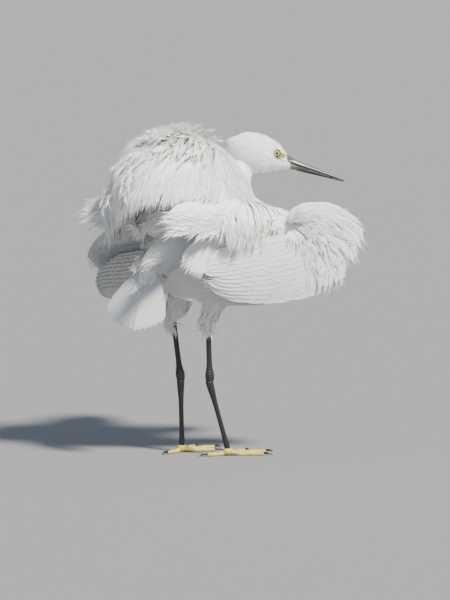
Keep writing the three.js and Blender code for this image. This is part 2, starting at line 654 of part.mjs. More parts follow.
for (const [side, name] of [[-1, 'right'], [1, 'left']]) {
  const { foot } = legPlaces(side);
  const footGroup = new THREE.Group();
  footGroup.position.set(foot.x, foot.y, 0);
  footGroup.rotation.z = radians(side * 6);
  footGroup.updateMatrixWorld(true);
  bird.add(footGroup);
  const handed = (solid) => (side < 0 ? solid : inFrame(solid, mirrorY));
  const footGrown = handed(fuse([body({ ...footPad, grow: GAP }), ...toeCutters]));
  const footCutter = inFrame(footGrown, footGroup.matrixWorld);

  const thigh = thighSolid(side);
  const shank = body(shankShape(side));
  const shankCutter = body({ ...shankShape(side), grow: GAP });
  place(`thigh_${name}`, cutBy(thigh, [shankCutter]), materials.plumage);
  place(`shank_${name}`, shank, materials.leg);
  place(`tarsus_${name}`, cutBy(body(tarsusShape(side)), [shankCutter, footCutter]), materials.leg);
  place(`foot_${name}`, handed(footLocal), materials.toe, footGroup);
  toes.forEach((toe, i) => {
    place(`claw_${name}_${toe.name}`, handed(clawLocal[i]), materials.horn, footGroup);
  });
}

// The origin: on the floor, at the middle of the bounding box.
egret.updateMatrixWorld(true);
const bounds = new THREE.Box3().setFromObject(egret, true);
bird.position.set(-(bounds.min.x + bounds.max.x) / 2, -(bounds.min.y + bounds.max.y) / 2, -bounds.min.z);
egret.updateMatrixWorld(true);

export default egret;
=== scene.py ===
# %% [markdown]
# A life-size little egret, standing with its wings half open and its plumage ruffled.
# The frame comes first: it holds the bird's bare solids at their real size and place. This script
# gives it its skin, its coat of separate feathers, its bill, eyes and legs, in the same coordinates.
# Blender opens with a cube, a lamp and a camera of its own. They are removed, so that the scene
# holds only the bird.

# %% Load the frame
import math
import bmesh
import bpy
import numpy as np
from mathutils import Matrix, Vector
from mathutils.bvhtree import BVHTree


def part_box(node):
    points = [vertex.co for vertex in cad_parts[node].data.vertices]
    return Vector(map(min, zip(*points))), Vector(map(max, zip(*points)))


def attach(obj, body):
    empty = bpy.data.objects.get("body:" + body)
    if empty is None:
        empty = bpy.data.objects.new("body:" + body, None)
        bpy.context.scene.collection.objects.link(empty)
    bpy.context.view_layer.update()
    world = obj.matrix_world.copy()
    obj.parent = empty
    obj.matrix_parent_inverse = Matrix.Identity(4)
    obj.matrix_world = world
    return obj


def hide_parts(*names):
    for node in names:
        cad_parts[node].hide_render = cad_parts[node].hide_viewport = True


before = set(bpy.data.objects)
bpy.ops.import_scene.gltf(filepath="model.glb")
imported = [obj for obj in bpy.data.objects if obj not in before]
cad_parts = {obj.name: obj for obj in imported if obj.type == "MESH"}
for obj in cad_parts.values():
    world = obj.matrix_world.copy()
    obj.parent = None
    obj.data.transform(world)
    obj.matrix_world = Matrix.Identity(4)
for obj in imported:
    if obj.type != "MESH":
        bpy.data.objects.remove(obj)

for name in ("Cube", "Light", "Camera"):
    if name in bpy.data.objects:
        bpy.data.objects.remove(bpy.data.objects[name])
bpy.context.view_layer.update()

# %% [markdown]
# A bird is easiest to think about in its own terms: x ahead of the breast, y to its left, z up, in
# millimetres. The frame's origin is elsewhere, so one point that both share is needed to tie them
# together. The right eye serves: its place on the head is known, and the frame has its box.

# %% The bird's own coordinates
MM = 0.001
# Radians in a whole turn, rounded: it only shapes waves and swirls.
WHOLE_TURN = 6.283
SIDES = {"right": -1, "left": 1}
draws = np.random.default_rng(11)


def spot(x, y, z):
    return np.array([x, y, z], float)


def mix(a, b, t):
    """From a to b as t goes from 0 to 1."""
    return a + (b - a) * t


def turned(turn_z, turn_y):
    """The axes of something turned about y and then about z, in degrees."""
    about_z = Matrix.Rotation(math.radians(turn_z), 3, "Z")
    return np.array(about_z @ Matrix.Rotation(math.radians(turn_y), 3, "Y"))


def outward(place, axes, points):
    """Points of a limb's own coordinates in those of the bird."""
    return np.asarray(points, float) @ axes.T + place


HEAD_PLACE, HEAD_AXES = spot(118.6, -26, 388.4), turned(-35, 22)
EYE_SIDE, EYE_RADIUS = 9.2, 5.2
right_eye = outward(HEAD_PLACE, HEAD_AXES, spot(0, -EYE_SIDE, 0))
low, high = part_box("eye_right")
ORIGIN = np.array((low + high) / 2) - right_eye * MM
print("bird's origin in the frame", ORIGIN.round(5))


def metres(points):
    """Bird millimetres as frame metres."""
    return np.asarray(points, float) * MM + ORIGIN


# %% [markdown]
# The camera looks from behind the bird's right side, just above its back. A long lens far away
# keeps the picture nearly free of perspective, as the telephoto lens of a bird watcher does.

# %% Camera
AZIMUTH, ELEVATION = math.radians(-35), math.radians(6)
PICTURE_TALL = 773.0
MIDDLE_ACROSS, MIDDLE_UP = 45.1, 201.0
CAMERA_FAR = 6.0
SENSOR = 36
back = np.array([math.sin(AZIMUTH) * math.cos(ELEVATION), -math.cos(AZIMUTH) * math.cos(ELEVATION),
                 math.sin(ELEVATION)])
right = np.array([math.cos(AZIMUTH), math.sin(AZIMUTH), 0])
up = np.cross(back, right)
aim = metres(right * MIDDLE_ACROSS + up * MIDDLE_UP)
camera = bpy.data.objects.new("camera", bpy.data.cameras.new("camera"))
bpy.context.scene.collection.objects.link(camera)
camera.location = Vector(aim + back * CAMERA_FAR)
camera.rotation_euler = (-Vector(back)).to_track_quat("-Z", "Y").to_euler()
camera.data.sensor_width = SENSOR
camera.data.lens = SENSOR * CAMERA_FAR / (PICTURE_TALL * MM)
camera.data.clip_end = 60
bpy.context.scene.camera = camera
print("lens", round(camera.data.lens, 1))

# %% [markdown]
# Each finish is a small net of shader nodes. The same few steps come back in all of them, so they
# are written once: start a material, do a sum, make a colour ramp, blend two colours, read numbers
# that are stored on the mesh, lay a fine texture over the piece, and raise it as relief.

# %% Node helpers
def finish_named(name, roughness):
    material = bpy.data.materials.new(name)
    material.use_nodes = True
    shader = material.node_tree.nodes["Principled BSDF"]
    shader.inputs["Roughness"].default_value = roughness
    return material, material.node_tree.nodes, material.node_tree.links, shader


def math_node(nodes, links, operation, first, second=None):
    node = nodes.new("ShaderNodeMath")
    node.operation = operation
    for socket, value in zip(node.inputs, (first, second)):
        if value is None:
            continue
        if isinstance(value, (int, float)):
            socket.default_value = value
        else:
            links.new(value, socket)
    return node.outputs[0]


def colour_ramp(nodes, links, value, stops):
    """The colour that a value has between some stops."""
    node = nodes.new("ShaderNodeValToRGB")
    elements = node.color_ramp.elements
    while len(elements) > 1:
        elements.remove(elements[-1])
    for k, (place, colour) in enumerate(stops):
        element = elements[0] if k == 0 else elements.new(place)
        element.position = place
        element.color = (*colour, 1)
    links.new(value, node.inputs[0])
    return node.outputs[0]


def mixed(nodes, links, share, first, second):
    """A colour between two others, each a colour or a node's output."""
    blend = nodes.new("ShaderNodeMix")
    blend.data_type = "RGBA"
    links.new(share, blend.inputs["Factor"])
    for socket, value in ((blend.inputs["A"], first), (blend.inputs["B"], second)):
        if isinstance(value, tuple):
            socket.default_value = (*value, 1)
        else:
            links.new(value, socket)
    return blend.outputs["Result"]


def stored(nodes, links, attribute):
    """The three numbers of a vector that is stored on the mesh, as three outputs."""
    seen = nodes.new("ShaderNodeAttribute")
    seen.attribute_name = attribute
    split = nodes.new("ShaderNodeSeparateXYZ")
    links.new(seen.outputs["Vector"], split.inputs[0])
    return split.outputs


def fine_texture(nodes, links, kind, scale):
    """Noise or cells that stay fixed to the piece."""
    texture = nodes.new(kind)
    texture.inputs["Scale"].default_value = scale
    place = nodes.new("ShaderNodeTexCoord")
    links.new(place.outputs["Object"], texture.inputs["Vector"])
    return texture


def add_relief(nodes, links, shader, height, strength, distance=0.0003):
    bump = nodes.new("ShaderNodeBump")
    bump.inputs["Strength"].default_value = strength
    bump.inputs["Distance"].default_value = distance
    links.new(height, bump.inputs["Height"])
    links.new(bump.outputs[0], shader.inputs["Normal"])


print("node helpers ready")

# %% [markdown]
# Plumage is white, but never one flat white: each feather differs a little, and its barbs catch
# the light as fine lines that run out from the shaft. Each feather is also painted a little darker
# towards its root: painted shade, where the feathers lie over each other. Each feather piece carries
# a vector named "vane": across the feather, along it, and a number that is the feather's own. The
# material reads that, so the barbs follow every feather, however it bends. An image of a feather
# could do it too, but it would repeat on thousands of them.

# %% Feather finish
# MILK and SHADED are painted shade at the feathers' roots; MILK is also the skin's own white.
SNOW, MILK, SHADED = (0.95, 0.95, 0.94), (0.90, 0.90, 0.88), (0.84, 0.84, 0.83)
BARB_SLANT = 0.16


def feather_finish(name, barbs, depth, root):
    """White feathers: "barbs" lines along the length, and "root" the painted shade at their roots, which
    lightens to snow white at the tips.
    """
    material, nodes, links, shader = finish_named(name, 0.72)
    across, along, own = stored(nodes, links, "vane")
    spread = math_node(nodes, links, "ABSOLUTE", across)
    phase = math_node(nodes, links, "SUBTRACT", math_node(nodes, links, "MULTIPLY", along, barbs),
                      math_node(nodes, links, "MULTIPLY", spread, barbs * BARB_SLANT))
    wave = math_node(nodes, links, "SINE", math_node(nodes, links, "MULTIPLY", phase, WHOLE_TURN))
    add_relief(nodes, links, shader, wave, depth, 0.0004)
    # Lighter from root to tip: painted shade where the feathers overlap, and a little of each feather's own
    # tone.
    shade = math_node(nodes, links, "ADD", math_node(nodes, links, "MULTIPLY", along, 0.75),
                      math_node(nodes, links, "MULTIPLY", own, 0.25))
    links.new(colour_ramp(nodes, links, shade, [(0.0, root), (1.0, SNOW)]), shader.inputs["Base Color"])
    shader.inputs["Specular IOR Level"].default_value = 0.2
    return material


plume_finish = feather_finish("plume_finish", 16, 0.25, MILK)
quill_finish = feather_finish("quill_finish", 46, 0.8, SHADED)
down_finish = feather_finish("down_finish", 5, 0.1, MILK)
print("feather finishes", plume_finish.name, quill_finish.name, down_finish.name)

# %% [markdown]
# The body under the feathers is lofted: circles along a smooth line through a few stations, each
# bridged to the next. A few stations and a smooth line give a rounder limb than a stretched ball
# would, and each station can be read as a measured slice of the bird.

# %% Lofting
def through(points, steps):
    """A smooth line through a few points, with the sizes carried along."""
    p = np.asarray(points, float)
    p = np.vstack([2 * p[0] - p[1], p, 2 * p[-1] - p[-2]])
    t = np.linspace(0, len(p) - 3 - 1e-9, steps)
    i, f = t.astype(int), (t % 1)[:, None]
    a, b, c, d = p[i], p[i + 1], p[i + 2], p[i + 3]
    slope, bow, twist = c - a, 2 * a - 5 * b + 4 * c - d, 3 * b - a - 3 * c + d
    return 0.5 * (2 * b + slope * f + bow * f ** 2 + twist * f ** 3)


def unit(v):
    return v / np.maximum(np.linalg.norm(v, axis=-1, keepdims=True), 1e-12)


def loft(bm, stations, side=(0, 1, 0), around=24, steps=40, blunt=0.1):
    """One closed rounded tube. Each station is [x, y, z, half width, half height] in bird millimetres."""
    line = through(stations, steps)
    middle, sizes = line[:, :3], np.maximum(line[:, 3:], 0.05)
    ahead = unit(np.gradient(middle, axis=0))
    across = unit(np.asarray(side, float) - ahead * (ahead @ np.asarray(side, float))[:, None])
    above = np.cross(ahead, across)
    t = np.linspace(0, 1, steps)
    ends = np.clip(np.minimum(t, 1 - t) / blunt, 0.02, 1)
    sizes = sizes * np.sqrt(1 - (1 - ends) ** 2)[:, None]
    rings = []
    for k in range(steps):
        axes = np.column_stack([across[k] * sizes[k, 0], above[k] * sizes[k, 1], ahead[k]]) * MM
        place = Matrix(axes.tolist()).to_4x4()
        place.translation = Vector(metres(middle[k]))
        capped = k in (0, steps - 1)
        made = bmesh.ops.create_circle(bm, cap_ends=capped, segments=around, radius=1, matrix=place)
        verts = set(made["verts"])
        rings.append([e for e in {e for v in verts for e in v.link_edges} if set(e.verts) <= verts])
    for lower, upper in zip(rings, rings[1:]):
        bmesh.ops.bridge_loops(bm, edges=lower + upper)


print("lofting ready")

# %% [markdown]
# The stations are those of the solids, made thinner by the depth of the coat. The head is the
# exception: its feathers are the shortest of all, so its skin lies little more than a millimetre in.
# Wings and tail have coordinates of their own, so that their stations read along the bones.

# %% Body lines
TORSO = [[-66, 0, 262, 14, 16], [-44, 0, 262, 26, 30], [-10, 0, 262, 43, 47], [40, 0, 262, 52, 56],
         [90, 0, 266, 45, 47], [124, 0, 270, 22, 26]]
NECK = [[92, 0, 256, 26, 24], [134, 0, 245, 21, 21], [162, 0, 253, 18, 18], [171, 0, 277, 16, 17],
        [150, 0, 296, 17, 17], [115, 0, 306, 18, 18], [86, 0, 323, 20, 19], [74, -1, 350, 19, 21],
        [84, -2, 376, 17, 21]]
MANTLE_CORE = [[-76, 0, 300, 12, 12], [-44, 0, 312, 42, 34], [0, 0, 318, 54, 44], [40, 0, 318, 50, 42],
               [74, 0, 312, 22, 22]]
# Slices of the head: place along it, its top, its underside and half its width.
HEAD_ROWS = [(-64, -6, -12, 3), (-57, 3, -24, 12), (-48, 9.2, -32, 17), (-37, 13.6, -36, 19),
             (-25, 15.8, -37, 19), (-14, 16.2, -34.5, 17.5), (-5, 14, -30, 15), (4, 9.6, -26, 12),
             (11, 5, -22, 9.3), (18, 0, -18.2, 7), (26, -5, -14.4, 4.4), (34, -9.4, -11.4, 1.6)]
# Where each limb starts and which way its own axes point. The left wing's are mirrored.
RIGHT_WING = (spot(140, -140, 277), turned(math.degrees(math.atan2(0.43, -0.9)), 0))
LEFT_WING = (spot(126, 146, 279), turned(math.degrees(math.atan2(-0.222, -0.975)), 3) @ np.diag([1, -1, 1]))
WINGS = {"right": RIGHT_WING, "left": LEFT_WING}
TAIL = (spot(-58, 0, 258), turned(14, -68))
FOREARM = [[-20, -1, -4, 3, 14], [-8, 0, 2, 7, 32], [30, 0, 8, 9, 34], [80, -2, 10, 9, 32],
           [112, -5, 2, 8, 24], [126, -8, -2, 3, 10]]
UPPER_ARM = [[84, -86, 14, 20, 20], [84, -70, 14, 22, 22], [96, -36, 8, 18, 20], [102, -8, 6, 8, 14]]
HAND = [[-4, 0, 8, 5, 10], [2, -3, -18, 6, 14], [8, -7, -44, 5, 12], [14, -8, -60, 2, 5]]
TAIL_ROOT = [[16, 0, 0, 10, 10], [-8, 0, 0, 20, 11], [-30, 0, 0, 17, 6], [-40, 0, 0, 8, 3]]
HALF_STANCE, HIP_Z, HEM_Z, ANKLE_Z = 24, 236, 172, 100


def leg_points(side):
    """Hip, hem of the feathering, ankle and foot of a leg; side is -1 on the right, 1 on the left."""
    near = side < 0
    return {
        "hip": spot(26 if near else 14, side * 30, HIP_Z),
        "hem": spot(10 if near else -9, side * (HALF_STANCE + 2), HEM_Z),
        "ankle": spot(14.5 if near else 2, side * HALF_STANCE, ANKLE_Z - side),
        "foot": spot(43 if near else 13, side * (HALF_STANCE if near else HALF_STANCE + 13), 7),
    }


def thinner(stations, by):
    s = np.array(stations, float)
    s[:, 3:] = np.maximum(s[:, 3:] - by, 1.2)
    return s


def limb(place_axes, stations, by):
    """A wing's or tail's stations in the bird's coordinates."""
    s = thinner(stations, by)
    s[:, :3] = outward(*place_axes, s[:, :3])
    return s


def thigh_line(side):
    p = leg_points(side)
    hip, hem = p["hip"], p["hem"]
    knee = hip * 0.5 + hem * 0.5
    return np.array([[*(hip + (0, 0, 20)), 18, 22], [*(hip - (0, 0, 6)), 18, 23],
                     [knee[0], knee[1], HIP_Z + (HEM_Z - HIP_Z) * 0.55, 11, 15],
                     [*(hem + (0, 0, 10)), 6, 7], [*hem, 4.2, 4.2]])


def head_line(by=1.2):
    s = np.array([[x, 0, (top + under) / 2, half - by, (top - under) / 2 - by]
                  for x, top, under, half in HEAD_ROWS])
    s[:, 3:] = np.maximum(s[:, 3:], 0.8)
    s[:, :3] = outward(HEAD_PLACE, HEAD_AXES, s[:, :3])
    return s


neck_steps = np.diff(through(NECK, 60)[:, :3], axis=0)
print("the neck is", round(np.linalg.norm(neck_steps, axis=1).sum()), "mm long")

# %% [markdown]
# A live bird's body is one closed skin, with no seam where the neck or a wing leaves it. Joining the
# lofts with booleans would leave hard creases. A voxel remesh melts them into one closed surface
# instead, and a few rounds of smoothing blend the joins, as clay limbs are smoothed together.

# %% Melt the body into one skin
VOXEL = 0.0022
skin_bm = bmesh.new()
loft(skin_bm, thinner(TORSO, 7))
loft(skin_bm, thinner(NECK, 3.5), steps=60, blunt=0.04)
loft(skin_bm, head_line(), side=HEAD_AXES[:, 1], around=40, steps=70, blunt=0.05)
loft(skin_bm, thinner(MANTLE_CORE, 5), steps=40)
loft(skin_bm, limb(TAIL, TAIL_ROOT, 3), side=TAIL[1][:, 1])
for wing in WINGS.values():
    loft(skin_bm, limb(wing, FOREARM, 2.5), side=wing[1][:, 1], blunt=0.12)
    loft(skin_bm, limb(wing, UPPER_ARM, 4), side=wing[1][:, 0])
    loft(skin_bm, limb(wing, HAND, 2), side=wing[1][:, 1], blunt=0.2)
for side in SIDES.values():
    loft(skin_bm, thigh_line(side))
bmesh.ops.recalc_face_normals(skin_bm, faces=skin_bm.faces[:])


def new_object(name, bm):
    mesh = bpy.data.meshes.new(name)
    bm.to_mesh(mesh)
    bm.free()
    made = bpy.data.objects.new(name, mesh)
    bpy.context.scene.collection.objects.link(made)
    return made


clay = new_object("clay", skin_bm)
melt = clay.modifiers.new("melt", "REMESH")
melt.mode = "VOXEL"
melt.voxel_size = VOXEL
soften = clay.modifiers.new("soften", "SMOOTH")
soften.iterations = 6
soften.factor = 0.5
skin_mesh = bpy.data.meshes.new_from_object(clay.evaluated_get(bpy.context.evaluated_depsgraph_get()))
bpy.data.objects.remove(clay)
print("skin", len(skin_mesh.polygons), "faces")

# %% [markdown]
# The bare face needs more skin detail than the rest, so the skin is subdivided there alone. The
# socket is then pressed in round each eye, the lids are raised as a soft rim, and the line of the
# gape is creased back from the bill to under the eye. Each of these is a push along the skin's
# normal that fades smoothly, which keeps the surface whole where cuts would tear it.

# %% Shape the face
SOCKET_RADIUS, SOCKET_DEPTH, LID_SWELL = 4.1, 2.2, 0.8
LORE_DENT, GAPE_CREASE = 1.1, 0.8
skin_bm = bmesh.new()
skin_bm.from_mesh(skin_mesh)
head_inverse = np.linalg.inv(HEAD_AXES)


def in_head(points):
    """Frame metres as head millimetres: x along the bill, y to the left, z up."""
    return ((np.asarray(points, float) - ORIGIN) / MM - HEAD_PLACE) @ head_inverse.T


def face_edges(bm, reach):
    """Edges of the face, from so far behind the eyes to the bill."""
    x, y, z = in_head([(e.verts[0].co + e.verts[1].co) / 2 for e in bm.edges]).T
    near = (x > -reach) & (x < 40) & (np.abs(z + 8) < 30) & (np.abs(y) < 22)
    return [e for e, n in zip(bm.edges, near) if n]


def face_push(local):
    """How far each point of the skin moves out, in millimetres."""
    x, y, z = local.T
    ring = np.hypot(x, z)
    push = np.zeros(len(local))
    for side in SIDES.values():
        this_side = (y * side > 0) & (np.abs(x) < 45)
        push -= this_side * SOCKET_DEPTH * np.exp(-(ring / 3.4) ** 4)
        push += this_side * LID_SWELL * np.exp(-((ring - SOCKET_RADIUS) / 1.2) ** 2)
        push -= this_side * LORE_DENT * np.exp(-(((x - 8) / 6) ** 2 + ((z + 1.5) / 3.4) ** 2))
        crease = np.clip((x + 4) / 3, 0, 1) * np.exp(-((z + 7.6) / 0.8) ** 2)
        push -= (this_side & (x < 30)) * GAPE_CREASE * crease
    return push


for reach in (50, 14):
    bmesh.ops.subdivide_edges(skin_bm, edges=face_edges(skin_bm, reach), cuts=1, use_grid_fill=True,
                              smooth=0.0)
bmesh.ops.triangulate(skin_bm, faces=[f for f in skin_bm.faces if len(f.verts) > 4])
skin_bm.normal_update()
push = face_push(in_head([v.co for v in skin_bm.verts]))
moves = [v.normal * float(p) * MM for v, p in zip(skin_bm.verts, push)]
for v, move in zip(skin_bm.verts, moves):
    v.co += move
skin_bm.normal_update()
local = in_head([v.co for v in skin_bm.verts])
skin = new_object("skin", skin_bm)
skin.data.shade_smooth()
print("skin with its face", len(skin.data.polygons), "faces")

# %% [markdown]
# Only two places of the skin are bare: the lores, a yellow-green patch between the eye and the bill,
# and the rim of the eye. How bare each point is, and how near the bill, is stored on the skin, and
# its material turns from feather white to green and then to the grey of the bill's root.

# %% Skin finish
LORE_AT, LORE_SIZE = (7, -2.2), (9.5, 4.6)
LORE_GREEN, LORE_GREY = (0.24, 0.31, 0.04), (0.12, 0.13, 0.09)


def lore_share(local):
    """How far a point lies from the middle of the lores, with 1 at their edge."""
    return np.hypot((local[:, 0] - LORE_AT[0]) / LORE_SIZE[0], (local[:, 2] - LORE_AT[1]) / LORE_SIZE[1])


def mark(made, values, name="vane"):
    """Store three numbers a vertex for the material to read."""
    layer = made.data.attributes.new(name, "FLOAT_VECTOR", "POINT")
    layer.data.foreach_set("vector", np.asarray(values, float).ravel())


def skin_finish():
    material, nodes, links, shader = finish_named("skin_finish", 0.6)
    bare, near_bill, _ = stored(nodes, links, "bare")
    lores = mixed(nodes, links, near_bill, LORE_GREEN, LORE_GREY)
    links.new(mixed(nodes, links, bare, MILK, lores), shader.inputs["Base Color"])
    pores = fine_texture(nodes, links, "ShaderNodeTexNoise", 1400)
    add_relief(nodes, links, shader, pores.outputs[0], 0.2)
    return material


eye_share = np.hypot(local[:, 0], local[:, 2]) / SOCKET_RADIUS
on_face = (np.abs(local[:, 1]) > 3) & (np.abs(local[:, 1]) < 16) & (local[:, 0] > -10)
bareness = np.clip(1.25 - np.minimum(lore_share(local), eye_share), 0, 0.35) / 0.35 * on_face
near_bill = np.clip((local[:, 0] - 8) / 6, 0, 1) * on_face
mark(skin, np.stack([bareness, near_bill, 0 * bareness], axis=-1), "bare")
skin.data.materials.append(skin_finish())
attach(skin, "root")
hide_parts("torso", "mantle", "neck_lower", "neck_middle", "neck_upper", "head", "upper_arm_right",
            "upper_arm_left", "wing_right", "wing_left", "tail", "thigh_right", "thigh_left")
print("bare points of the skin", int((bareness > 0.5).sum()))

# %% [markdown]
# The export paints each piece on a map of its own. The skin is unwrapped by its own shape, and a
# feather's patch on the coat's map sits at its root's place on that unwrap, a few thousandths
# across, so that neighbours on the bird are neighbours on the map. The skin's faces are read into
# arrays at the same time, because the coat is scattered over them.

# %% Unwrap the skin
bpy.context.view_layer.objects.active = skin
skin.select_set(True)
bpy.ops.object.mode_set(mode="EDIT")
bpy.ops.mesh.select_all(action="SELECT")
bpy.ops.uv.smart_project(angle_limit=math.radians(66), island_margin=0.002)
bpy.ops.object.mode_set(mode="OBJECT")
skin.data.uv_layers[0].name = "OFBake"


def read_all(items, what, wide=1, kind=float):
    """One value, or a few, of every item of a mesh as an array."""
    values = np.zeros(len(items) * wide, kind)
    items.foreach_get(what, values)
    return values.reshape(-1, wide) if wide > 1 else values


faces_of_skin = skin.data.polygons
face_count = len(faces_of_skin)
loop_uv = read_all(skin.data.uv_layers["OFBake"].data, "uv", 2)
face_uv = loop_uv[read_all(faces_of_skin, "loop_start", kind=int)]
face_middle = (read_all(faces_of_skin, "center", 3) - ORIGIN) / MM
face_normal = read_all(faces_of_skin, "normal", 3)
face_area = read_all(faces_of_skin, "area") / MM ** 2
skin_tree = BVHTree.FromPolygons([v.co for v in skin.data.vertices], [p.vertices for p in faces_of_skin])
print("skin area", round(face_area.sum() / 100), "square centimetres")


def map_place(points):
    """Where the skin under each point (bird millimetres) lies on the map."""
    hits = [skin_tree.find_nearest(Vector(p))[2] for p in metres(points)]
    return face_uv[np.array(hits)]


# %% [markdown]
# Every feather, from the down on the face to the longest quill, is one closed sliver: a thin
# section carried along a midline. Thousands of them are joined into one mesh straight from arrays,
# because a mesh operator for each would be slow. Small ones have three corners to a section and
# two lengths, which is all that their size can show. Quills have a raised shaft down the middle.

# %% Shapes of a blade
# Corners of a section: across the feather in half widths, and up in thicknesses.
TUFT_SECTION = np.array([[-1, 0], [0, 0.5], [1, 0]])
VANE_SECTION = np.array([[-1, 0], [-0.5, 0.5], [-0.06, 0.6], [0, 1.1], [0.06, 0.6], [0.5, 0.5], [1, 0],
                         [0, -0.5]])


def on_bend(t, root, bend, tip):
    """A place on a bent line, at a share t of the way from root past bend to tip."""
    return root * (1 - t) ** 2 + 2 * bend * t * (1 - t) + tip * t ** 2


def bend_for(root, middle, tip):
    """The bend that makes the line pass through a middle."""
    return 2 * middle - root / 2 - tip / 2


def along_bends(root, bend, tip, rows):
    """Midlines (count, rows, 3) from root past bend to tip."""
    return on_bend(np.linspace(0, 1, rows)[None, :, None], root[:, None], bend[:, None], tip[:, None])


def blade_points(line, face, width, thick, section, camber):
    """The corners of every blade and then its tip, in frame metres. "camber" droops the edges."""
    count, rows, _ = line.shape
    ahead = unit(np.gradient(line, axis=1))
    face = face[:, None]
    above = unit(face - ahead * (ahead * face).sum(-1, keepdims=True))
    across = np.cross(ahead, above)
    out = section[:, 0][None, None, :, None]
    lift = section[:, 1][None, None, :, None] * thick[:, :, None, None]
    lift = lift - camber * (section[:, 0] ** 2)[None, None, :, None] * width[:, :, None, None]
    aside = across[:, :, None] * out * width[:, :, None, None] / 2
    rings = (line[:, :, None] + aside + above[:, :, None] * lift).reshape(count, -1, 3)
    kept = rings[:, :(rows - 1) * len(section)]
    return metres(np.concatenate([kept, line[:, -1:]], axis=1).reshape(-1, 3))


print("a tuft has", len(TUFT_SECTION), "corners, a quill", len(VANE_SECTION))

# %% [markdown]
# The corners are joined by four-sided faces along the blade, triangles that close its tip, and one
# face that closes its root. A blade is thin, so its edges are marked sharp: with normals smoothed
# round them, each feather would shade like a round rod and the coat would look dark and speckled.

# %% Join blades into a mesh
MAP_PATCH = 0.003
SHARP_EDGE = math.radians(60)


def blade_faces(count, rows, corners):
    """Corner numbers of every blade's quads, of the triangles at its tip, and of its root's face."""
    ring, last = np.arange(corners), (rows - 2) * corners
    beside = (ring + 1) % corners
    step = np.arange(rows - 2)[:, None] * corners
    four = (step + ring, step + beside, step + corners + beside, step + corners + ring)
    quads = np.stack(np.broadcast_arrays(*four), axis=-1)
    tips = np.stack([last + ring, last + beside, np.full(corners, last + corners)], axis=-1)
    base = np.arange(count)[:, None] * (last + corners + 1)
    return [(part.reshape(1, -1) + base).reshape(-1) for part in (quads, tips, ring[::-1])]


def joined_faces(points, count, rows, corners, inside):
    """All corner numbers, where each face starts and how many sides it has, with faces outwards."""
    quads, tips, roots = blade_faces(count, rows, corners)
    sides = np.repeat([4, 3, corners], [len(quads) // 4, len(tips) // 3, count])
    loops = np.concatenate([quads, tips, roots])
    starts = np.concatenate([[0], np.cumsum(sides)[:-1]])
    a, b, c = points[quads[:3]]
    if np.dot(np.cross(b - a, c - a), (a + c) / 2 - inside) < 0:
        place = np.arange(len(loops)) - np.repeat(starts, sides)
        loops = loops[np.repeat(starts + sides - 1, sides) - place]
    return loops, starts, sides


def vane_marks(count, rows, section):
    """Across the feather, along it, and its own number, at every corner."""
    vane = np.empty((count, rows, len(section), 3))
    vane[..., 0] = section[:, 0]
    vane[..., 1] = np.linspace(0, 1, rows)[None, :, None]
    vane[..., 2] = draws.random(count)[:, None, None]
    vane = vane.reshape(count, -1, 3)[:, :(rows - 1) * len(section) + 1]
    vane[:, -1, 0] = 0
    return vane


def coat_piece(name, line, face, width, thick, section=TUFT_SECTION, camber=0.0, finish=down_finish):
    """One mesh of many blades. line (n, rows, 3), width and thick (n, rows) in bird millimetres."""
    count, rows, _ = line.shape
    points = blade_points(line, face, width, thick, section, camber)
    loops, starts, sides = joined_faces(points, count, rows, len(section), metres(line[0, 0]))
    mesh = bpy.data.meshes.new(name)
    mesh.vertices.add(len(points))
    mesh.vertices.foreach_set("co", points.ravel())
    mesh.loops.add(len(loops))
    mesh.loops.foreach_set("vertex_index", loops.astype(np.int32))
    mesh.polygons.add(len(starts))
    mesh.polygons.foreach_set("loop_start", starts.astype(np.int32))
    mesh.update(calc_edges=True)
    made = bpy.data.objects.new(name, mesh)
    bpy.context.scene.collection.objects.link(made)
    vane = vane_marks(count, rows, section)
    mark(made, vane)
    patch = (vane[..., :2] * (0.5, 1) - (0, 0.5)) * MAP_PATCH + map_place(line[:, 0])[:, None]
    layer = mesh.uv_layers.new(name="OFBake")
    layer.data.foreach_set("uv", patch.reshape(-1, 2)[loops].ravel())
    mesh.shade_smooth()
    mesh.set_sharp_from_angle(angle=SHARP_EDGE)
    mesh.materials.append(finish)
    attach(made, "root")
    print(name, count, "blades,", int((sides - 2).sum()), "triangles")


# %% [markdown]
# The skin's feathers are scattered by area and laid along the body, from the bill back over the
# head, down the neck to the breast, back over the flanks and down the thighs. Each region has its
# own line, length, width, lift off the skin and number of layers ("cover"): the smallest feathers
# are on the face, the longest on the thighs. Each face of the skin belongs to the nearest line.

# %% Regions of the coat
def region_line(stations, steps=40, reverse=False):
    line = through(stations, steps)
    return line[::-1] if reverse else line


REGIONS = {
    "head": dict(line=region_line(head_line(0), reverse=True), length=(5, 11), width=1.0, lift=0.02,
                 cover=7, stray=0.035),
    "neck": dict(line=region_line(NECK, 80, reverse=True), length=(11, 17), width=1.3, lift=0.1,
                 cover=5, stray=0.09),
    "torso": dict(line=region_line(TORSO, reverse=True), length=(15, 20), width=1.7, lift=0.09,
                  cover=4.5),
    "mantle": dict(line=region_line(MANTLE_CORE, reverse=True), length=(20, 26), width=2.2, lift=0.12,
                   cover=3.5),
    "rump": dict(line=region_line(limb(TAIL, TAIL_ROOT, 0)), length=(18, 24), width=1.7, lift=0.09,
                 cover=4.5),
}
for name, wing in WINGS.items():
    REGIONS["arm_" + name] = dict(line=region_line(limb(wing, UPPER_ARM, 0)), length=(18, 24),
                                  width=2.6, lift=0.2, cover=3)
    REGIONS["forearm_" + name] = dict(line=region_line(limb(wing, FOREARM, 0)), length=(12, 16),
                                      width=2.6, lift=0.1, cover=1.5)
for name, side in SIDES.items():
    REGIONS["thigh_" + name] = dict(line=region_line(thigh_line(side)), length=(18, 26), width=1.6,
                                    lift=0.22, cover=6)

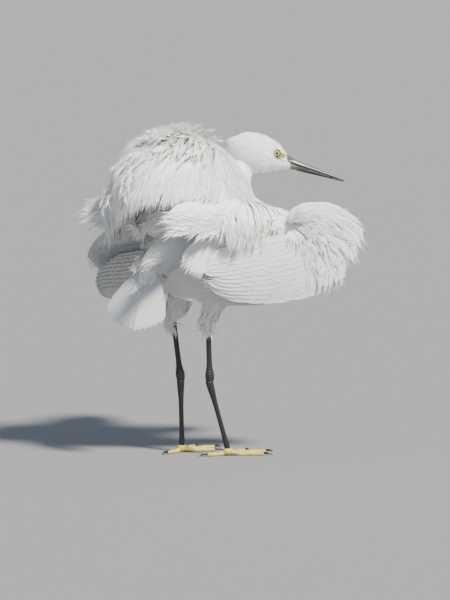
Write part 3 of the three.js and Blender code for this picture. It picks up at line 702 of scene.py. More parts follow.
names = list(REGIONS)
line_points = np.concatenate([REGIONS[n]["line"] for n in names])
line_flow = np.concatenate([unit(np.gradient(REGIONS[n]["line"][:, :3], axis=0)) for n in names])
line_share = np.concatenate([np.linspace(0, 1, len(REGIONS[n]["line"])) for n in names])
line_region = np.concatenate([np.full(len(REGIONS[n]["line"]), k) for k, n in enumerate(names)])
AT_ONCE = 4000
nearest = np.empty(face_count, int)
for k in range(0, face_count, AT_ONCE):
    gap = np.linalg.norm(face_middle[k:k + AT_ONCE, None] - line_points[None, :, :3], axis=2)
    nearest[k:k + AT_ONCE] = np.argmin(gap / line_points[:, 3:].mean(1), axis=1)
face_region = line_region[nearest]
print({n: int(face_area[face_region == k].sum() / 100) for k, n in enumerate(names)})

# %% [markdown]
# A tuft is rooted just under the skin, rises a little and lies down along the flow. Combed exactly
# alike, tufts look like nylon, so a smooth noise parts and swirls them together and a small chance
# turns each one by itself. Down under the belly the flow also droops.

# %% Scatter and lay the tufts
STRAY = 0.14


def waver(points, size, seed):
    """Smooth noise between -1 and 1, to part and swirl the coat a little."""
    turn = np.random.default_rng(seed).normal(size=(3, 6)) * (WHOLE_TURN / size)
    shift = np.random.default_rng(seed + 1).random(6) * WHOLE_TURN
    return np.sin(points @ turn + shift).mean(1) * 2.0


def scatter(names_wanted, keep=None):
    """Roots, normals, flow, share of the way and region for tufts on some regions of the skin."""
    rows = []
    for name in names_wanted:
        region = REGIONS[name]
        faces = np.flatnonzero(face_region == names.index(name))
        if keep is not None:
            faces = faces[keep(face_middle[faces])]
        shown = region["width"] * np.mean(region["length"]) * 0.5
        count = int(face_area[faces].sum() * region["cover"] / shown)
        picked = draws.choice(faces, count, p=face_area[faces] / face_area[faces].sum())
        spread = np.sqrt(face_area[picked])[:, None] * draws.uniform(-0.6, 0.6, (count, 3))
        normal = face_normal[picked]
        spread -= normal * (spread * normal).sum(1, keepdims=True)
        line = nearest[picked]
        rows.append((face_middle[picked] + spread, normal, line_flow[line], line_share[line],
                     np.full(count, names.index(name))))
    return [np.concatenate(part) for part in zip(*rows)]


def of_region(key, region, spare=0):
    """A value of the region of each tuft."""
    return np.array([REGIONS[n].get(key, spare) for n in names])[region]


def lay_tufts(title, names_wanted, keep=None, down=0.0, rows=3):
    root, normal, flow, share, region = scatter(names_wanted, keep)
    count = len(root)
    short, long = of_region("length", region).T
    stray = of_region("stray", region, STRAY)
    flow = flow + (0, 0, -down)
    flow = unit(flow - normal * (flow * normal).sum(1, keepdims=True))
    swirl = (waver(root, 38, 5) * 2 * stray + draws.normal(0, 1, count) * stray)[:, None]
    flow = unit(flow + np.cross(normal, flow) * swirl)
    reach = ((short + (long - short) * share) * draws.uniform(0.8, 1.2, count))[:, None]
    rise = of_region("lift", region) * draws.uniform(0.6, 1.5, count) * (1 + 0.5 * waver(root, 30, 9))
    rise = rise[:, None]
    bend = root + flow * reach * 0.5 + normal * reach * rise * 0.55
    tip = root + flow * reach * 0.96 + normal * reach * rise * 0.5
    line = along_bends(root - normal * 0.5, bend, tip, rows)
    wide = (of_region("width", region) * draws.uniform(0.75, 1.25, count))[:, None]
    width = wide * np.interp(np.linspace(0, 1, rows), [0, 0.5, 1], [0.75, 1, 0.12])
    coat_piece(title, line, normal, width, width * 0.12)


print("a tuft strays by a share of", STRAY)

# %% [markdown]
# The head's down must leave the eyes, the lores and the bill bare, so faces there are left out. The
# chin's down runs forward in the fork of the lower jaw, against the flow of the rest, so it is laid
# on its own.

# %% Lay the short coat
CHIN_TUFTS = 700


def feathered_face(points):
    """True where the head has feathers: not on the eyes, the lores, nor inside the bill."""
    local = (points - HEAD_PLACE) @ head_inverse.T
    on_side = np.abs(local[:, 1]) > 3
    eye = (np.hypot(local[:, 0], local[:, 2]) < SOCKET_RADIUS) & on_side
    return ~eye & ~((lore_share(local) < 1) & on_side) & (local[:, 0] < 33)


def chin_tufts(count):
    """Roots, tips and faces of the down in the fork of the lower jaw."""
    t, turn = draws.random(count), draws.uniform(-1.5, 1.5, count)
    x = mix(6, 33, t)
    root = np.stack([x, mix(4.6, 2.6, t) * np.sin(turn), -mix(10, 9, t) - mix(4.5, 2.4, t) * np.cos(turn)],
                    axis=-1)
    reach = np.stack([draws.uniform(3, 6, count), 0 * t, -draws.uniform(0, 1, count)], axis=-1)
    middle = np.stack([x, 0 * t, 0 * t - 9], axis=-1)
    root, tip, middle = [outward(HEAD_PLACE, HEAD_AXES, part) for part in (root, root + reach, middle)]
    return root, tip, unit(root - middle)


lay_tufts("coat_head", ["head"], keep=feathered_face)
lay_tufts("coat_neck", ["neck"])
root, tip, face = chin_tufts(CHIN_TUFTS)
width = np.outer(draws.uniform(0.6, 1.0, CHIN_TUFTS), [0.7, 1, 0.1])
coat_piece("coat_chin", along_bends(root, (root + tip) / 2, tip, 3), face, width, width * 0.12)
lay_tufts("coat_body", ["torso", "rump"], down=0.35)
lay_tufts("coat_back_down", ["mantle"])
lay_tufts("coat_arms", ["arm_right", "arm_left", "forearm_right", "forearm_left"], down=0.25)
lay_tufts("coat_thighs", ["thigh_right", "thigh_left"], down=0.3)

# %% [markdown]
# A feather's edge is never a clean cut: its barbs come apart. A soft feather is made here as a vane
# and a spray of single barbs that leave its shaft on both sides, from near the root to the tip.
# Cutting notches into a flat vane would cost as many faces and still look like paper.

# %% Frayed feathers
# Width along a feather, from root to tip, as shares of its widest.
PLUME_WIDTHS = [(0, 0.3), (0.4, 1), (0.75, 0.8), (1, 0.06)]
BROAD_WIDTHS = [(0, 0.3), (0.4, 0.95), (0.75, 1), (0.92, 0.7), (1, 0.2)]
BARB_WIDTHS = [(0, 0.8), (0.6, 1), (1, 0.25)]
PLUME_SECTION = TUFT_SECTION * (1, 1.6)


def widths_by(shape, widths, rows):
    along, share = np.transpose(shape)
    return np.asarray(widths, float)[:, None] * np.interp(np.linspace(0, 1, rows), along, share)


def frayed(root, bend, tip, face, per, reach, spread):
    """Root, bend and tip of the barbs that leave a feather's shaft on both sides, "per" to a feather."""
    shape = (len(root), per, 1)
    root, bend, tip, over = root[:, None], bend[:, None], tip[:, None], face[:, None]
    t = draws.uniform(0.2, 0.98, shape)
    at = on_bend(t, root, bend, tip)
    ahead = unit(2 * (1 - t) * (bend - root) + 2 * t * (tip - bend))
    side = np.where(draws.random(shape) < 0.5, -1, 1) * draws.uniform(0.4, 1, shape)
    way = unit(ahead + np.cross(ahead, over) * side * spread + over * draws.normal(0, 0.05, shape))
    reach = reach * draws.uniform(0.7, 1.2, shape)
    parts = (at, at + mix(way, ahead, -0.25) * reach * 0.5, at + mix(way, ahead, 0.2) * reach)
    return [part.reshape(-1, 3) for part in parts], np.repeat(face, per, axis=0)


def barb_piece(title, parts, face, per, reach, spread, fine=(0.35, 0.6)):
    barbs, barb_face = frayed(*parts, face, per, reach, spread)
    wide = widths_by(BARB_WIDTHS, draws.uniform(*fine, len(barb_face)), 3)
    coat_piece(title, along_bends(*barbs, 3), barb_face, wide, wide * 0.5, finish=plume_finish)


def plume_piece(title, parts, face, width, per, reach, spread, fine=(0.35, 0.6), pieces=1,
                shape=PLUME_WIDTHS):
    """Plumes as soft vanes, and the barbs that fray from them, in a few meshes."""
    wide = widths_by(shape, width, 7)
    coat_piece(title + "_vanes", along_bends(*parts, 7), face, wide, np.full_like(wide, 0.35),
               PLUME_SECTION, 0.04, plume_finish)
    for k, some in enumerate(np.array_split(np.arange(len(face)), pieces)):
        barb_piece(f"{title}_barbs_{k + 1}", [part[some] for part in parts], face[some], per, reach,
                   spread, fine)


print("a plume is widest at", max(PLUME_WIDTHS, key=lambda row: row[1])[0], "of its length")

# %% [markdown]
# The wing is built as the real one is: ten primaries from the hand, sixteen secondaries from the
# forearm, and inside them the tertials, which hang down and back from the elbow as a loose bunch.
# Places are in the wing's own coordinates: x from the wrist to the shoulder, y away from the body.
# Each quill's tip lies a little over the one before it, to keep neighbours from cutting through.

# %% Quills
QUILL_WIDTHS = [(0, 0.18), (0.12, 0.5), (0.35, 0.92), (0.7, 1), (0.9, 0.8), (0.97, 0.5), (1, 0.1)]
PRIMARIES, SECONDARIES, TERTIALS = 10, 16, 9


def placed(frame_of, root, bend, tip):
    """Root, bend and tip of some feathers, from a limb's coordinates to the bird's."""
    return [outward(*frame_of, np.stack(np.broadcast_arrays(*part), axis=-1)) for part in (root, bend, tip)]


def wing_quills(wing):
    o, s = np.linspace(0, 1, PRIMARIES), np.linspace(0, 1, SECONDARIES)
    layer = mix(-5.8, -13.8, o)
    reach = mix(190, 224, o) + 16 * np.sin(o * math.pi)
    primaries = placed(wing, (mix(0, 8, o), mix(-1, -9, o), mix(-14, -50, o)),
                       (reach * 0.52, layer + mix(1, -2, o), mix(-34, -84, o)),
                       (reach, layer, mix(-22, -56, o ** 1.3)))
    layer = mix(-4.2, 5, s)
    secondaries = placed(wing, (mix(10, 104, s), mix(-1, -4, s), mix(-14, -10, s)),
                         (mix(76, 150, s), layer + 1, mix(-50, -26, s)),
                         (mix(146, 206, s), layer, mix(-52, -14, s)))
    width = np.concatenate([mix(24, 19, o), np.full(SECONDARIES, 23.0)])
    return [np.concatenate(parts) for parts in zip(primaries, secondaries)], width


def tertials(wing):
    t = np.linspace(0, 1, TERTIALS)
    parts = placed(wing, (mix(128, 150, t), 4 + 0 * t, mix(6, 22, t)),
                   (mix(164, 188, t), mix(15, 19, t), mix(0, 10, t)),
                   (mix(184, 209, t), mix(14, 17, t), mix(-33, -17, t) - 5 * np.sin(math.pi * t)))
    face = np.stack([0.1 + 0 * t, 1 + 0 * t, mix(-0.25, 0.2, t)], axis=-1) @ wing[1].T
    return parts, unit(face)


print("quills of a wing", PRIMARIES + SECONDARIES + TERTIALS)

# %% [markdown]
# Coverts hide the roots of the quills, and each row hides the roots of the row below it. The small
# ones sweep from the shoulder along the top of the wing and turn down round its bend, so they are
# laid out by angle and distance round the middle of the hand, as a fan is.

# %% Rows of coverts
COVERT_WIDTHS = [(0, 0.3), (0.35, 0.9), (0.6, 1), (0.85, 0.74), (0.96, 0.4), (1, 0.1)]
FAN = spot(74, 0, 26)
# How far the fan reaches at each angle, in degrees and millimetres.
FAN_REACH = [(-125, 58), (-100, 52), (-78, 66), (-58, 98), (-30, 102), (0, 98), (12, 80), (36, 38),
             (64, 20)]
# Each row: share of the fan's reach, lift off the bone, step and range of angles, length, width.
OVER_TIERS = [(1, 5, 3.4, -74, 54, 62, 8), (0.87, 7, 3.8, -72, 56, 60, 8),
              (0.73, 9, 4.2, -70, 56, 54, 7.5), (0.59, 11, 5, -66, 56, 46, 7),
              (0.45, 13, 7, -70, 56, 36, 6.5), (0.3, 14.5, 10, -84, 52, 26, 6)]
UNDER_TIERS = [(0.95, 5, 8, -112, 30, 44, 15), (0.72, 7, 9, -104, 30, 34, 13),
               (0.48, 9, 11, -98, 30, 26, 11)]


def fan_reach(angle):
    return np.interp(angle, *np.transpose(FAN_REACH))


def on_fan(distance, angle, off):
    """A place on the fan, so far off the bone, in the wing's coordinates."""
    a = np.radians(angle)
    return FAN[0] - distance * np.cos(a), off + 0 * a, FAN[2] + distance * np.sin(a)


def covert_row(wing, side, share, lift, step, first, last, length, wide):
    """Root, bend, tip, face and width of the coverts of one row; side is -1 under the wing."""
    angle = np.arange(first, last, step)
    count = len(angle)
    angle = angle + draws.uniform(-0.4, 0.4, count) * step
    sweep = np.interp(angle, [-100, -40, 10, 60], [8, 22, 32, 26]) * draws.uniform(0.8, 1.2, count)
    trim = share * draws.uniform(0.92, 1.04, count)
    far = fan_reach(angle) * trim
    near = np.minimum(np.maximum(far - length * 0.75, 6), fan_reach(angle + sweep) * trim * 0.85)
    middle = np.minimum(mix(near, far, 0.7), fan_reach(angle + sweep * 0.45) * trim)
    off = side * lift + draws.uniform(-0.9, 0.9, count)
    parts = placed(wing, on_fan(near, angle + sweep, side * 2.5),
                   on_fan(middle, angle + sweep * 0.45, off + side * 2.5), on_fan(far, angle, off - side))
    a = np.radians(angle)
    face = np.stack([-0.12 * np.sin(a), np.full(count, float(side)), -0.12 * np.cos(a)], axis=-1)
    face = (face + draws.normal(0, 0.06, face.shape)) @ wing[1].T
    return *parts, face, wide * draws.uniform(0.8, 1.2, count)


def covert_rows(wing, tiers, side):
    rows = [covert_row(wing, side, *tier) for tier in tiers]
    return [np.concatenate(part) for part in zip(*rows)]


print("rows of coverts", len(OVER_TIERS), "over and", len(UNDER_TIERS), "under each wing")

# %% [markdown]
# The greater coverts are the long smooth feathers below the fan. They follow streamlines that run
# from the arm back and down to the wing's lower edge, so that their overlap is hardly seen.

# %% Greater coverts
GREATER_ACROSS, GREATER_ALONG = 11, 6


def greater_coverts(wing):
    """Feathers on streamlines. "low" goes from 0 at the arm to 1 at the wing's lower edge."""
    low, start = np.meshgrid(np.linspace(0, 1, GREATER_ACROSS), np.linspace(0, 0.52, GREATER_ALONG))
    low, start = low.ravel(), start.ravel()
    start = start + draws.uniform(-0.04, 0.04, len(start))
    length = draws.uniform(0.38, 0.46, len(low))
    off = mix(14, 0, low ** 1.6)

    def along(share, lift):
        x = on_bend(share, mix(60, 0, low), mix(120, 84, low), mix(196, 176, low))
        z = on_bend(share, mix(8, -40, low), mix(2, -84, low), mix(-22, -52, low))
        return x, off + lift, z

    root, middle, tip = placed(wing, along(start, -1), along(start + length / 2, 0.6),
                               along(start + length, 0.8))
    face = np.stack([0.04 + 0 * low, 1 + 0 * low, mix(-0.02, -0.32, low)], axis=-1) @ wing[1].T
    return [root, bend_for(root, middle, tip), tip], unit(face)


print("greater coverts of a wing", GREATER_ACROSS * GREATER_ALONG)

# %% [markdown]
# Now the wings are dressed from the inside out, as a preparer sets them: quills, tertials, greater
# coverts, then the small coverts above and below. All but the quills also fray into barbs.

# %% Dress the wings
def vane_piece(title, parts, face, width, rows, shape, thick, camber, finish=plume_finish):
    wide = widths_by(shape, width, rows)
    depth = np.full(wide.shape, thick) * np.interp(np.linspace(0, 1, rows), [0, 1], [1.3, 0.6])
    coat_piece(title, along_bends(*parts, rows), face, wide, depth, VANE_SECTION, camber, finish)


for name, wing in WINGS.items():
    parts, width = wing_quills(wing)
    face = np.broadcast_to(wing[1][:, 1], parts[0].shape)
    vane_piece("quills_" + name, parts, face, width, 26, QUILL_WIDTHS, 0.3, 0.015, quill_finish)
    parts, face = tertials(wing)
    vane_piece("tertials_" + name, parts, face, np.full(len(face), 15.0), 16, QUILL_WIDTHS, 0.2, 0.03)
    barb_piece("tertials_barbs_" + name, parts, face, 80, 12, 0.3)
    parts, face = greater_coverts(wing)
    width = np.full(len(face), 20.0)
    vane_piece("greater_coverts_" + name, parts, face, width, 14, COVERT_WIDTHS, 0.08, 0.004)
    barb_piece("greater_coverts_barbs_" + name, parts, face, 60, 14, 0.3)
    for title, tiers, side in (("coverts_", OVER_TIERS, 1), ("undercoverts_", UNDER_TIERS, -1)):
        *parts, face, width = covert_rows(wing, tiers, side)
        vane_piece(title + name, parts, face, width, 9, COVERT_WIDTHS, 0.14, 0.03)
        barb_piece(title + "barbs_" + name, parts, face, 34, 11, 0.32)

# %% [markdown]
# The tail's twelve feathers are pressed down and spread. One of the middle pair lies on top and is
# the longest. From it outwards, each feather slides half a millimetre under its neighbour.

# %% Tail
TAIL_FAN = [-27, -22, -17, -12, -7, -2, 3, 8, 13, 20, 26, 32]
TAIL_REACH, TAIL_WIDTH, TOP_LAYER = 97, 25.0, 3.6
angle = np.radians(TAIL_FAN)
outer = np.abs(np.arange(len(TAIL_FAN)) - 5)
reach, layer = TAIL_REACH - outer * 0.8, TOP_LAYER - outer * 0.5
tail_parts = placed(TAIL, (-18 * np.cos(angle), 18 * np.sin(angle), 0 * angle),
                    (-60 * np.cos(angle), 60 * np.sin(angle), layer + 4),
                    (-reach * np.cos(angle), reach * np.sin(angle), layer))
tail_face = np.broadcast_to(TAIL[1][:, 2], tail_parts[0].shape)
tail_width = np.full(len(TAIL_FAN), TAIL_WIDTH)
vane_piece("quills_tail", tail_parts, tail_face, tail_width, 20, QUILL_WIDTHS, 0.25, 0.008, quill_finish)

# %% [markdown]
# The ruffled back is the boldest part of the bird. Long loose plumes rise from the shoulders and
# curl back in a dome. Places on it are given as on a globe: the fall from its crown, the turn round
# it, and a share of its size. The crown, where the plumes part, leans to the bird's left.

# %% The dome of the mantle
DOME, DOME_AXES = spot(-12, 0, 310), spot(104, 90, 108)
CROWN_LEAN, LEAN_AXIS = math.radians(-16), Vector((0.82, -0.57, 0))
CROWN_TILT = np.array(Matrix.Rotation(CROWN_LEAN, 3, LEAN_AXIS))
NECK_LINE = np.concatenate([through(NECK, 60), head_line()])
NECK_OVERLAP = 3


def on_dome(fall, turn, share):
    """A place on the dome: "fall" down from its top, "turn" round from ahead to the bird's right."""
    a, r = np.radians(fall), np.radians(turn)
    way = np.stack([np.sin(a) * np.cos(r), -np.sin(a) * np.sin(r), np.cos(a)], axis=-1) @ CROWN_TILT.T
    return DOME + DOME_AXES * way * np.asarray(share)[..., None]


def clear_of_neck(*places):
    """True for the plumes whose places all keep out of the neck and the head."""
    clear = np.full(len(places[0]), True)
    for place in places:
        gap = np.linalg.norm(place[:, None] - NECK_LINE[None, :, :3], axis=2) - NECK_LINE[:, 3:].max(1)
        clear &= gap.min(1) > -NECK_OVERLAP
    return clear


def bent_plumes(root, middle, tip):
    """Root, bend and tip of the plumes that clear the neck, and their middles."""
    keep = clear_of_neck(root, middle, tip)
    root, middle, tip = root[keep], middle[keep], tip[keep]
    return [root, bend_for(root, middle, tip), tip], middle


print("the dome's crown is at", on_dome(0, 0, 1).round())

# %% [markdown]
# Two layers make the mantle. Some four hundred broad feathers lie just inside the dome and close most
# of the dark gaps between the plumes. Over them come up to fifteen hundred narrow plumes, whose barbs
# are unhooked, so each frays into fine strands. Plumes that would cut the neck are left out. Behind
# the neck they lie flat, and on the near side a hollow is pressed into them.

# %% Mantle plumes
UNDER_PLUMES, UNDER_SHARE, PLUMES = 420, 0.95, 1500
PLUME_ROOT = 0.88
HOLLOW = dict(turn=122, fall=68, wide=17, tall=15, depth=0.15)
# The lowest fall that plumes may reach, by turn.
LOWEST = [(-180, 100), (-150, 104), (-60, 96), (60, 92), (100, 88), (150, 88), (180, 100)]


def crown_plumes(count):
    fall = 94 * draws.random(count) ** 0.72 - 18
    turn = draws.uniform(-180, 180, count)
    reach = draws.uniform(24, 38, count)
    wisp = draws.random(count) < np.interp(fall, [0, 30, 50], [0.35, 0.2, 0.03])
    high = np.where(wisp, draws.uniform(1.0, 1.08, count), draws.uniform(0.965, 0.985, count))
    high = np.where(fall > 45, np.minimum(high, 1.05), high)
    high = np.where(np.abs(turn - 20) < 60, np.minimum(high, 0.925), high)
    reach = np.where(wisp, reach * 0.6, reach)
    fall = np.minimum(fall, np.interp(turn, *np.transpose(LOWEST)) - reach)
    swirl = 10 * np.sin(np.radians(turn)) + draws.normal(0, 2.5, count)
    aside, below = turn - HOLLOW["turn"], fall + reach - HOLLOW["fall"]
    dent = np.exp(-(aside / HOLLOW["wide"]) ** 2 - (below / HOLLOW["tall"]) ** 2)
    pressed = 1 - HOLLOW["depth"] * dent
    root = on_dome(fall, turn, np.full(count, PLUME_ROOT))
    middle = on_dome(fall + reach * 0.45, turn + swirl * 0.4, mix(PLUME_ROOT, high, 0.8) * pressed)
    tip = on_dome(fall + reach, turn + swirl, high * pressed)
    parts, middle = bent_plumes(root, middle, tip)
    return parts, unit(middle - DOME)


parts, face = crown_plumes(UNDER_PLUMES)
parts = [DOME + (part - DOME) * UNDER_SHARE for part in parts]
wide = widths_by(BROAD_WIDTHS, draws.uniform(20, 26, len(face)), 7)
coat_piece("mantle_under", along_bends(*parts, 7), face, wide, np.full_like(wide, 0.4), PLUME_SECTION, 0.1,
           plume_finish)
parts, face = crown_plumes(PLUMES)
plume_piece("mantle", parts, face, draws.uniform(3, 5, len(face)), per=28, reach=20, spread=0.16,
            fine=(0.4, 0.7), pieces=3)

# %% [markdown]
# The longest plumes break out of the outline. Along the crest and down the far side their last
# barbs stand apart like the bristles of a brush, and a few hang as loose lace behind. Each brush is
# turned to face the side, so that its barbs fan out against the sky.

# %% Crest wisps and lace
WISPS = {
    "crest": dict(count=90, fall=(2, 34), turn=(60, 330), out=(1.02, 1.1), droop=8),
    "rear": dict(count=40, fall=(40, 80), turn=(150, 250), out=(1.0, 1.05), droop=14),
    "lace": dict(count=26, fall=(74, 92), turn=(222, 256), out=(1.1, 1.3), droop=12),
}


def wisps(count, fall, turn, out, droop):
    """Brushes of barbs between two falls, two turns and two shares of the dome."""
    fall = draws.uniform(*fall, count)
    turn = draws.uniform(*turn, count)
    root = on_dome(fall, turn, np.full(count, 0.8))
    middle = on_dome(fall + droop * 0.4, turn, np.full(count, 0.99))
    tip = on_dome(fall + droop, turn + draws.normal(0, 3, count), draws.uniform(*out, count))
    parts, middle = bent_plumes(root, middle, tip)
    return parts, unit(np.cross(middle - DOME, -back) + draws.normal(0, 0.3, middle.shape))


for title, values in WISPS.items():
    parts, face = wisps(**values)
    plume_piece(title, parts, face, draws.uniform(0.8, 1.2, len(face)), per=16, reach=13, spread=0.5,
                fine=(0.5, 0.8))

# %% [markdown]
# Below the dome lie broader, smoother feathers: the scapulars, which fall back over the wing's base,
# and the shoulder feathers, which hang as a fringe from the neck's root out over the wing.

# %% Scapulars and shoulders
SCAPULARS, SHOULDER_PLUMES = 100, 190


def scapular_plumes(side, count):
    t, deep = draws.random(count), draws.random(count)
    root = np.stack([mix(-6, 44, t), side * mix(30, 40, deep), mix(306, 330, deep)], axis=-1)
    bend = np.stack([mix(-52, 28, t), side * mix(95, 98, deep), mix(316, 326, t) + 16 * deep], axis=-1)
    tip = np.stack([mix(-104, -4, t) + draws.normal(0, 3, count), side * mix(92, 96, deep),
                    mix(299, 285, t) + 30 * deep + draws.normal(0, 2, count)], axis=-1)
    face = unit(np.array([0.15, side, 0.35]) + draws.normal(0, 0.035, (count, 3)))
    return (root, bend, tip), face


def shoulder_plumes(side, count):
    t, hang = draws.random(count), draws.random(count)
    root = np.stack([mix(10, 100, t), side * mix(34, 16, t), mix(348, 326, t) - 14 * hang], axis=-1)
    bend = np.stack([mix(2, 92, t), side * mix(96, 84, t), mix(338, 320, t) - 10 * hang], axis=-1)
    tip = np.stack([mix(-10, 64, t) + draws.normal(0, 4, count), side * mix(100, 110, t),
                    mix(306, 284, hang) + draws.normal(0, 3, count)], axis=-1)
    face = unit(np.array([0.2, side, 0.5]) + draws.normal(0, 0.05, (count, 3)))
    return (root, bend, tip), face


for name, side in SIDES.items():
    parts, face = scapular_plumes(side, SCAPULARS)
    plume_piece("scapulars_" + name, parts, face, draws.uniform(16, 22, SCAPULARS), per=46, reach=15,
                spread=0.25, shape=BROAD_WIDTHS)
    parts, face = shoulder_plumes(side, SHOULDER_PLUMES)
    plume_piece("shoulder_" + name, parts, face, draws.uniform(8, 12, SHOULDER_PLUMES), per=26, reach=18,
                spread=0.16, shape=BROAD_WIDTHS)

# %% [markdown]
# The bill is a horn sheath over two long jaws that meet on the line of the mouth. Each half is a
# loft of its own whose inner face is pressed flat on that line, so a real fine gap shows between
# them. The nostrils are slits in a shallow groove on each side near the root.

# %% Shape the bill
MOUTH_GAP, NOSTRIL_X, NOSTRIL_Z = 0.3, 20, -1.9
# Slices of each half: place along the head's axis, its middle, half its width, half its height.
UPPER_BILL = [[4, -3, 5.6, 6.4], [14, -3.5, 5.4, 6.0], [25, -4.3, 4.5, 4.6], [45, -3.6, 3.5, 3.7],
              [70, -2.2, 2.4, 2.6], [88, -1.5, 1.3, 1.5], [95, -1.6, 0.35, 0.4]]
LOWER_BILL = [[4, -9.4, 5.2, 6.2], [14, -9, 5, 5.9], [25, -8.6, 4.1, 4.9], [45, -6.6, 3.1, 3.9],
              [70, -3.9, 2.1, 2.5], [88, -2.6, 1.1, 1.2], [94, -2.2, 0.3, 0.35]]
MOUTH_LINE = [(-30, -8.2), (12, -7.4), (45, -4.9), (103, -1.7)]
BILL_TIP = UPPER_BILL[-1][0]


def vert_places(bm):
    return np.array([v.co[:] for v in bm.verts])


def put_back(bm, local):
    """Moves the vertices to new places, given in the head's millimetres."""
    for v, point in zip(bm.verts, metres(outward(HEAD_PLACE, HEAD_AXES, local))):
        v.co = Vector(point)


def nostrils(x, z):
    """How much narrower the bill is for its groove and slits."""
    groove = np.exp(-((z - NOSTRIL_Z - 0.02 * (x - NOSTRIL_X)) / 1.0) ** 2)
    groove *= np.clip((x - 10) / 5, 0, 1) * np.clip((48 - x) / 16, 0, 1)
    slit = np.exp(-((z - NOSTRIL_Z) / 0.5) ** 2) * np.exp(-((x - NOSTRIL_X) / 3.4) ** 4)
    return 0.10 * groove + 0.22 * slit


def bill_half(name, rows, above):
    bm = bmesh.new()
    stations = np.array([[x, 0, z, half, tall] for x, z, half, tall in rows], float)
    stations[:, :3] = outward(HEAD_PLACE, HEAD_AXES, stations[:, :3])
    loft(bm, stations, side=HEAD_AXES[:, 1], around=36, steps=90, blunt=0.02)
    bmesh.ops.recalc_face_normals(bm, faces=bm.faces[:])
    local = in_head(vert_places(bm))
    line = np.interp(local[:, 0], *np.transpose(MOUTH_LINE))
    sign = 1 if above else -1
    local[:, 2] += sign * np.maximum(sign * (line - local[:, 2]) + MOUTH_GAP / 2, 0)
    if above:
        local[:, 1] *= 1 - nostrils(local[:, 0], local[:, 2])
    put_back(bm, local)
    made = new_object(name, bm)
    middle = [[row[0], row[1]] for row in rows]
    ridge = local[:, 2] - np.interp(local[:, 0], *np.transpose(middle))
    mark(made, np.stack([local[:, 0] / BILL_TIP, ridge, np.full(len(local), float(above))], axis=-1))
    print(name, len(made.data.polygons), "faces")
    return made


# %% [markdown]
# Horn is dark and satin, paler where it is thick over bone: at the root, and in the first third of the
# lower half, which is flesh grey. A grey streak along the top of the ridge is a painted highlight.
# The stored numbers give the place along the bill, the height over its middle, and which half it is.

# %% Bill's finish
RIDGE_HIGHLIGHT_GREY = (0.085, 0.085, 0.09)


def horn_finish():
    material, nodes, links, shader = finish_named("horn_finish", 0.34)
    along, ridge, upper = stored(nodes, links, "vane")
    dark = colour_ramp(nodes, links, along, [(0.0, (0.12, 0.105, 0.10)), (0.3, (0.045, 0.043, 0.046)),
                                             (1.0, (0.02, 0.02, 0.022))])
    flesh = colour_ramp(nodes, links, along, [(0.0, (0.30, 0.25, 0.24)), (0.2, (0.20, 0.17, 0.16)),
                                              (0.36, (0.05, 0.046, 0.046)), (1.0, (0.02, 0.02, 0.022))])
    # The top of the ridge is painted lighter: a painted highlight, not a colour of the horn.
    height = math_node(nodes, links, "ADD", math_node(nodes, links, "MULTIPLY", ridge, 0.14), 0.5)
    ridge_highlight = colour_ramp(nodes, links, height, [(0.0, (0, 0, 0)), (0.6, (0, 0, 0)), (0.8, (0.6, 0.6, 0.6)),
                                                (1.0, (0.1, 0.1, 0.1))])
    dark = mixed(nodes, links, ridge_highlight, dark, RIDGE_HIGHLIGHT_GREY)
    links.new(mixed(nodes, links, upper, flesh, dark), shader.inputs["Base Color"])
    grain = fine_texture(nodes, links, "ShaderNodeTexNoise", 900)
    add_relief(nodes, links, shader, grain.outputs[0], 0.12)
    return material


def dress(made, material, slot, *nodes):
    """Gives a piece its finish and body, and hides the solids that it stands for. "slot" is not used."""
    made.data.materials.clear()
    made.data.materials.append(material)
    made.data.shade_smooth()
    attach(made, "root")
    if nodes:
        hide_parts(*nodes)


horn = horn_finish()
dress(bill_half("bill_upper_horn", UPPER_BILL, True), horn, "horn", "bill_upper")
dress(bill_half("bill_lower_horn", LOWER_BILL, False), horn, "horn", "bill_lower")

# %% [markdown]
# The eye is a ball deep in its socket, with a black pupil and a thin pale yellow iris under a wet
# cornea, which the clear coat of the shader gives. A fold of bare skin rings it: the lids, which are
# what give the bird its stare. They are a circle spun round the eye, which is a closed ring.

# %% Eyes and lids
PUPIL, IRIS = 1.7 / EYE_RADIUS, 2.6 / EYE_RADIUS
LID_RING, LID_FOLD, LID_OUT = 3.1, 0.8, 3.5
LID_LONG, LID_TALL = 1.07, 0.95
BLACK, YELLOW, GOLD = (0.004, 0.004, 0.004), (0.74, 0.72, 0.26), (0.50, 0.46, 0.13)
# Added to the measure on the half that lies in the head, so that no iris is painted there.
PAST_IRIS = 9


def eye_finish():
    material, nodes, links, shader = finish_named("eye_finish", 0.04)
    from_middle, _, _ = stored(nodes, links, "vane")
    rings = colour_ramp(nodes, links, from_middle, [(0.0, BLACK), (PUPIL, BLACK), (PUPIL + 0.03, GOLD),
                                                    (0.40, YELLOW), (0.46, YELLOW), (IRIS, GOLD),
                                                    (IRIS + 0.08, BLACK)])
    links.new(rings, shader.inputs["Base Color"])
    shader.inputs["Coat Weight"].default_value = 1.0
    shader.inputs["Coat Roughness"].default_value = 0.02
    return material


def head_matrix(local):
    """The head's axes as a matrix, with its place at a point of the head."""
    matrix = Matrix(HEAD_AXES.tolist()).to_4x4()
    matrix.translation = Vector(metres(outward(HEAD_PLACE, HEAD_AXES, local)))
    return matrix


def eyeball(name, side):
    bm = bmesh.new()
    pole = head_matrix(spot(0, side * EYE_SIDE, 0)) @ Matrix.Rotation(-side * math.pi / 2, 4, "X")
    bmesh.ops.create_uvsphere(bm, u_segments=40, v_segments=28, radius=EYE_RADIUS * MM, matrix=pole)
    local = in_head(vert_places(bm))
    made = new_object("eyeball_" + name, bm)
    inner_half = side * local[:, 1] < EYE_SIDE
    from_middle = np.hypot(local[:, 0], local[:, 2]) / EYE_RADIUS + PAST_IRIS * inner_half
    mark(made, np.stack([from_middle, 0 * from_middle, 0 * from_middle], axis=-1))
    return made


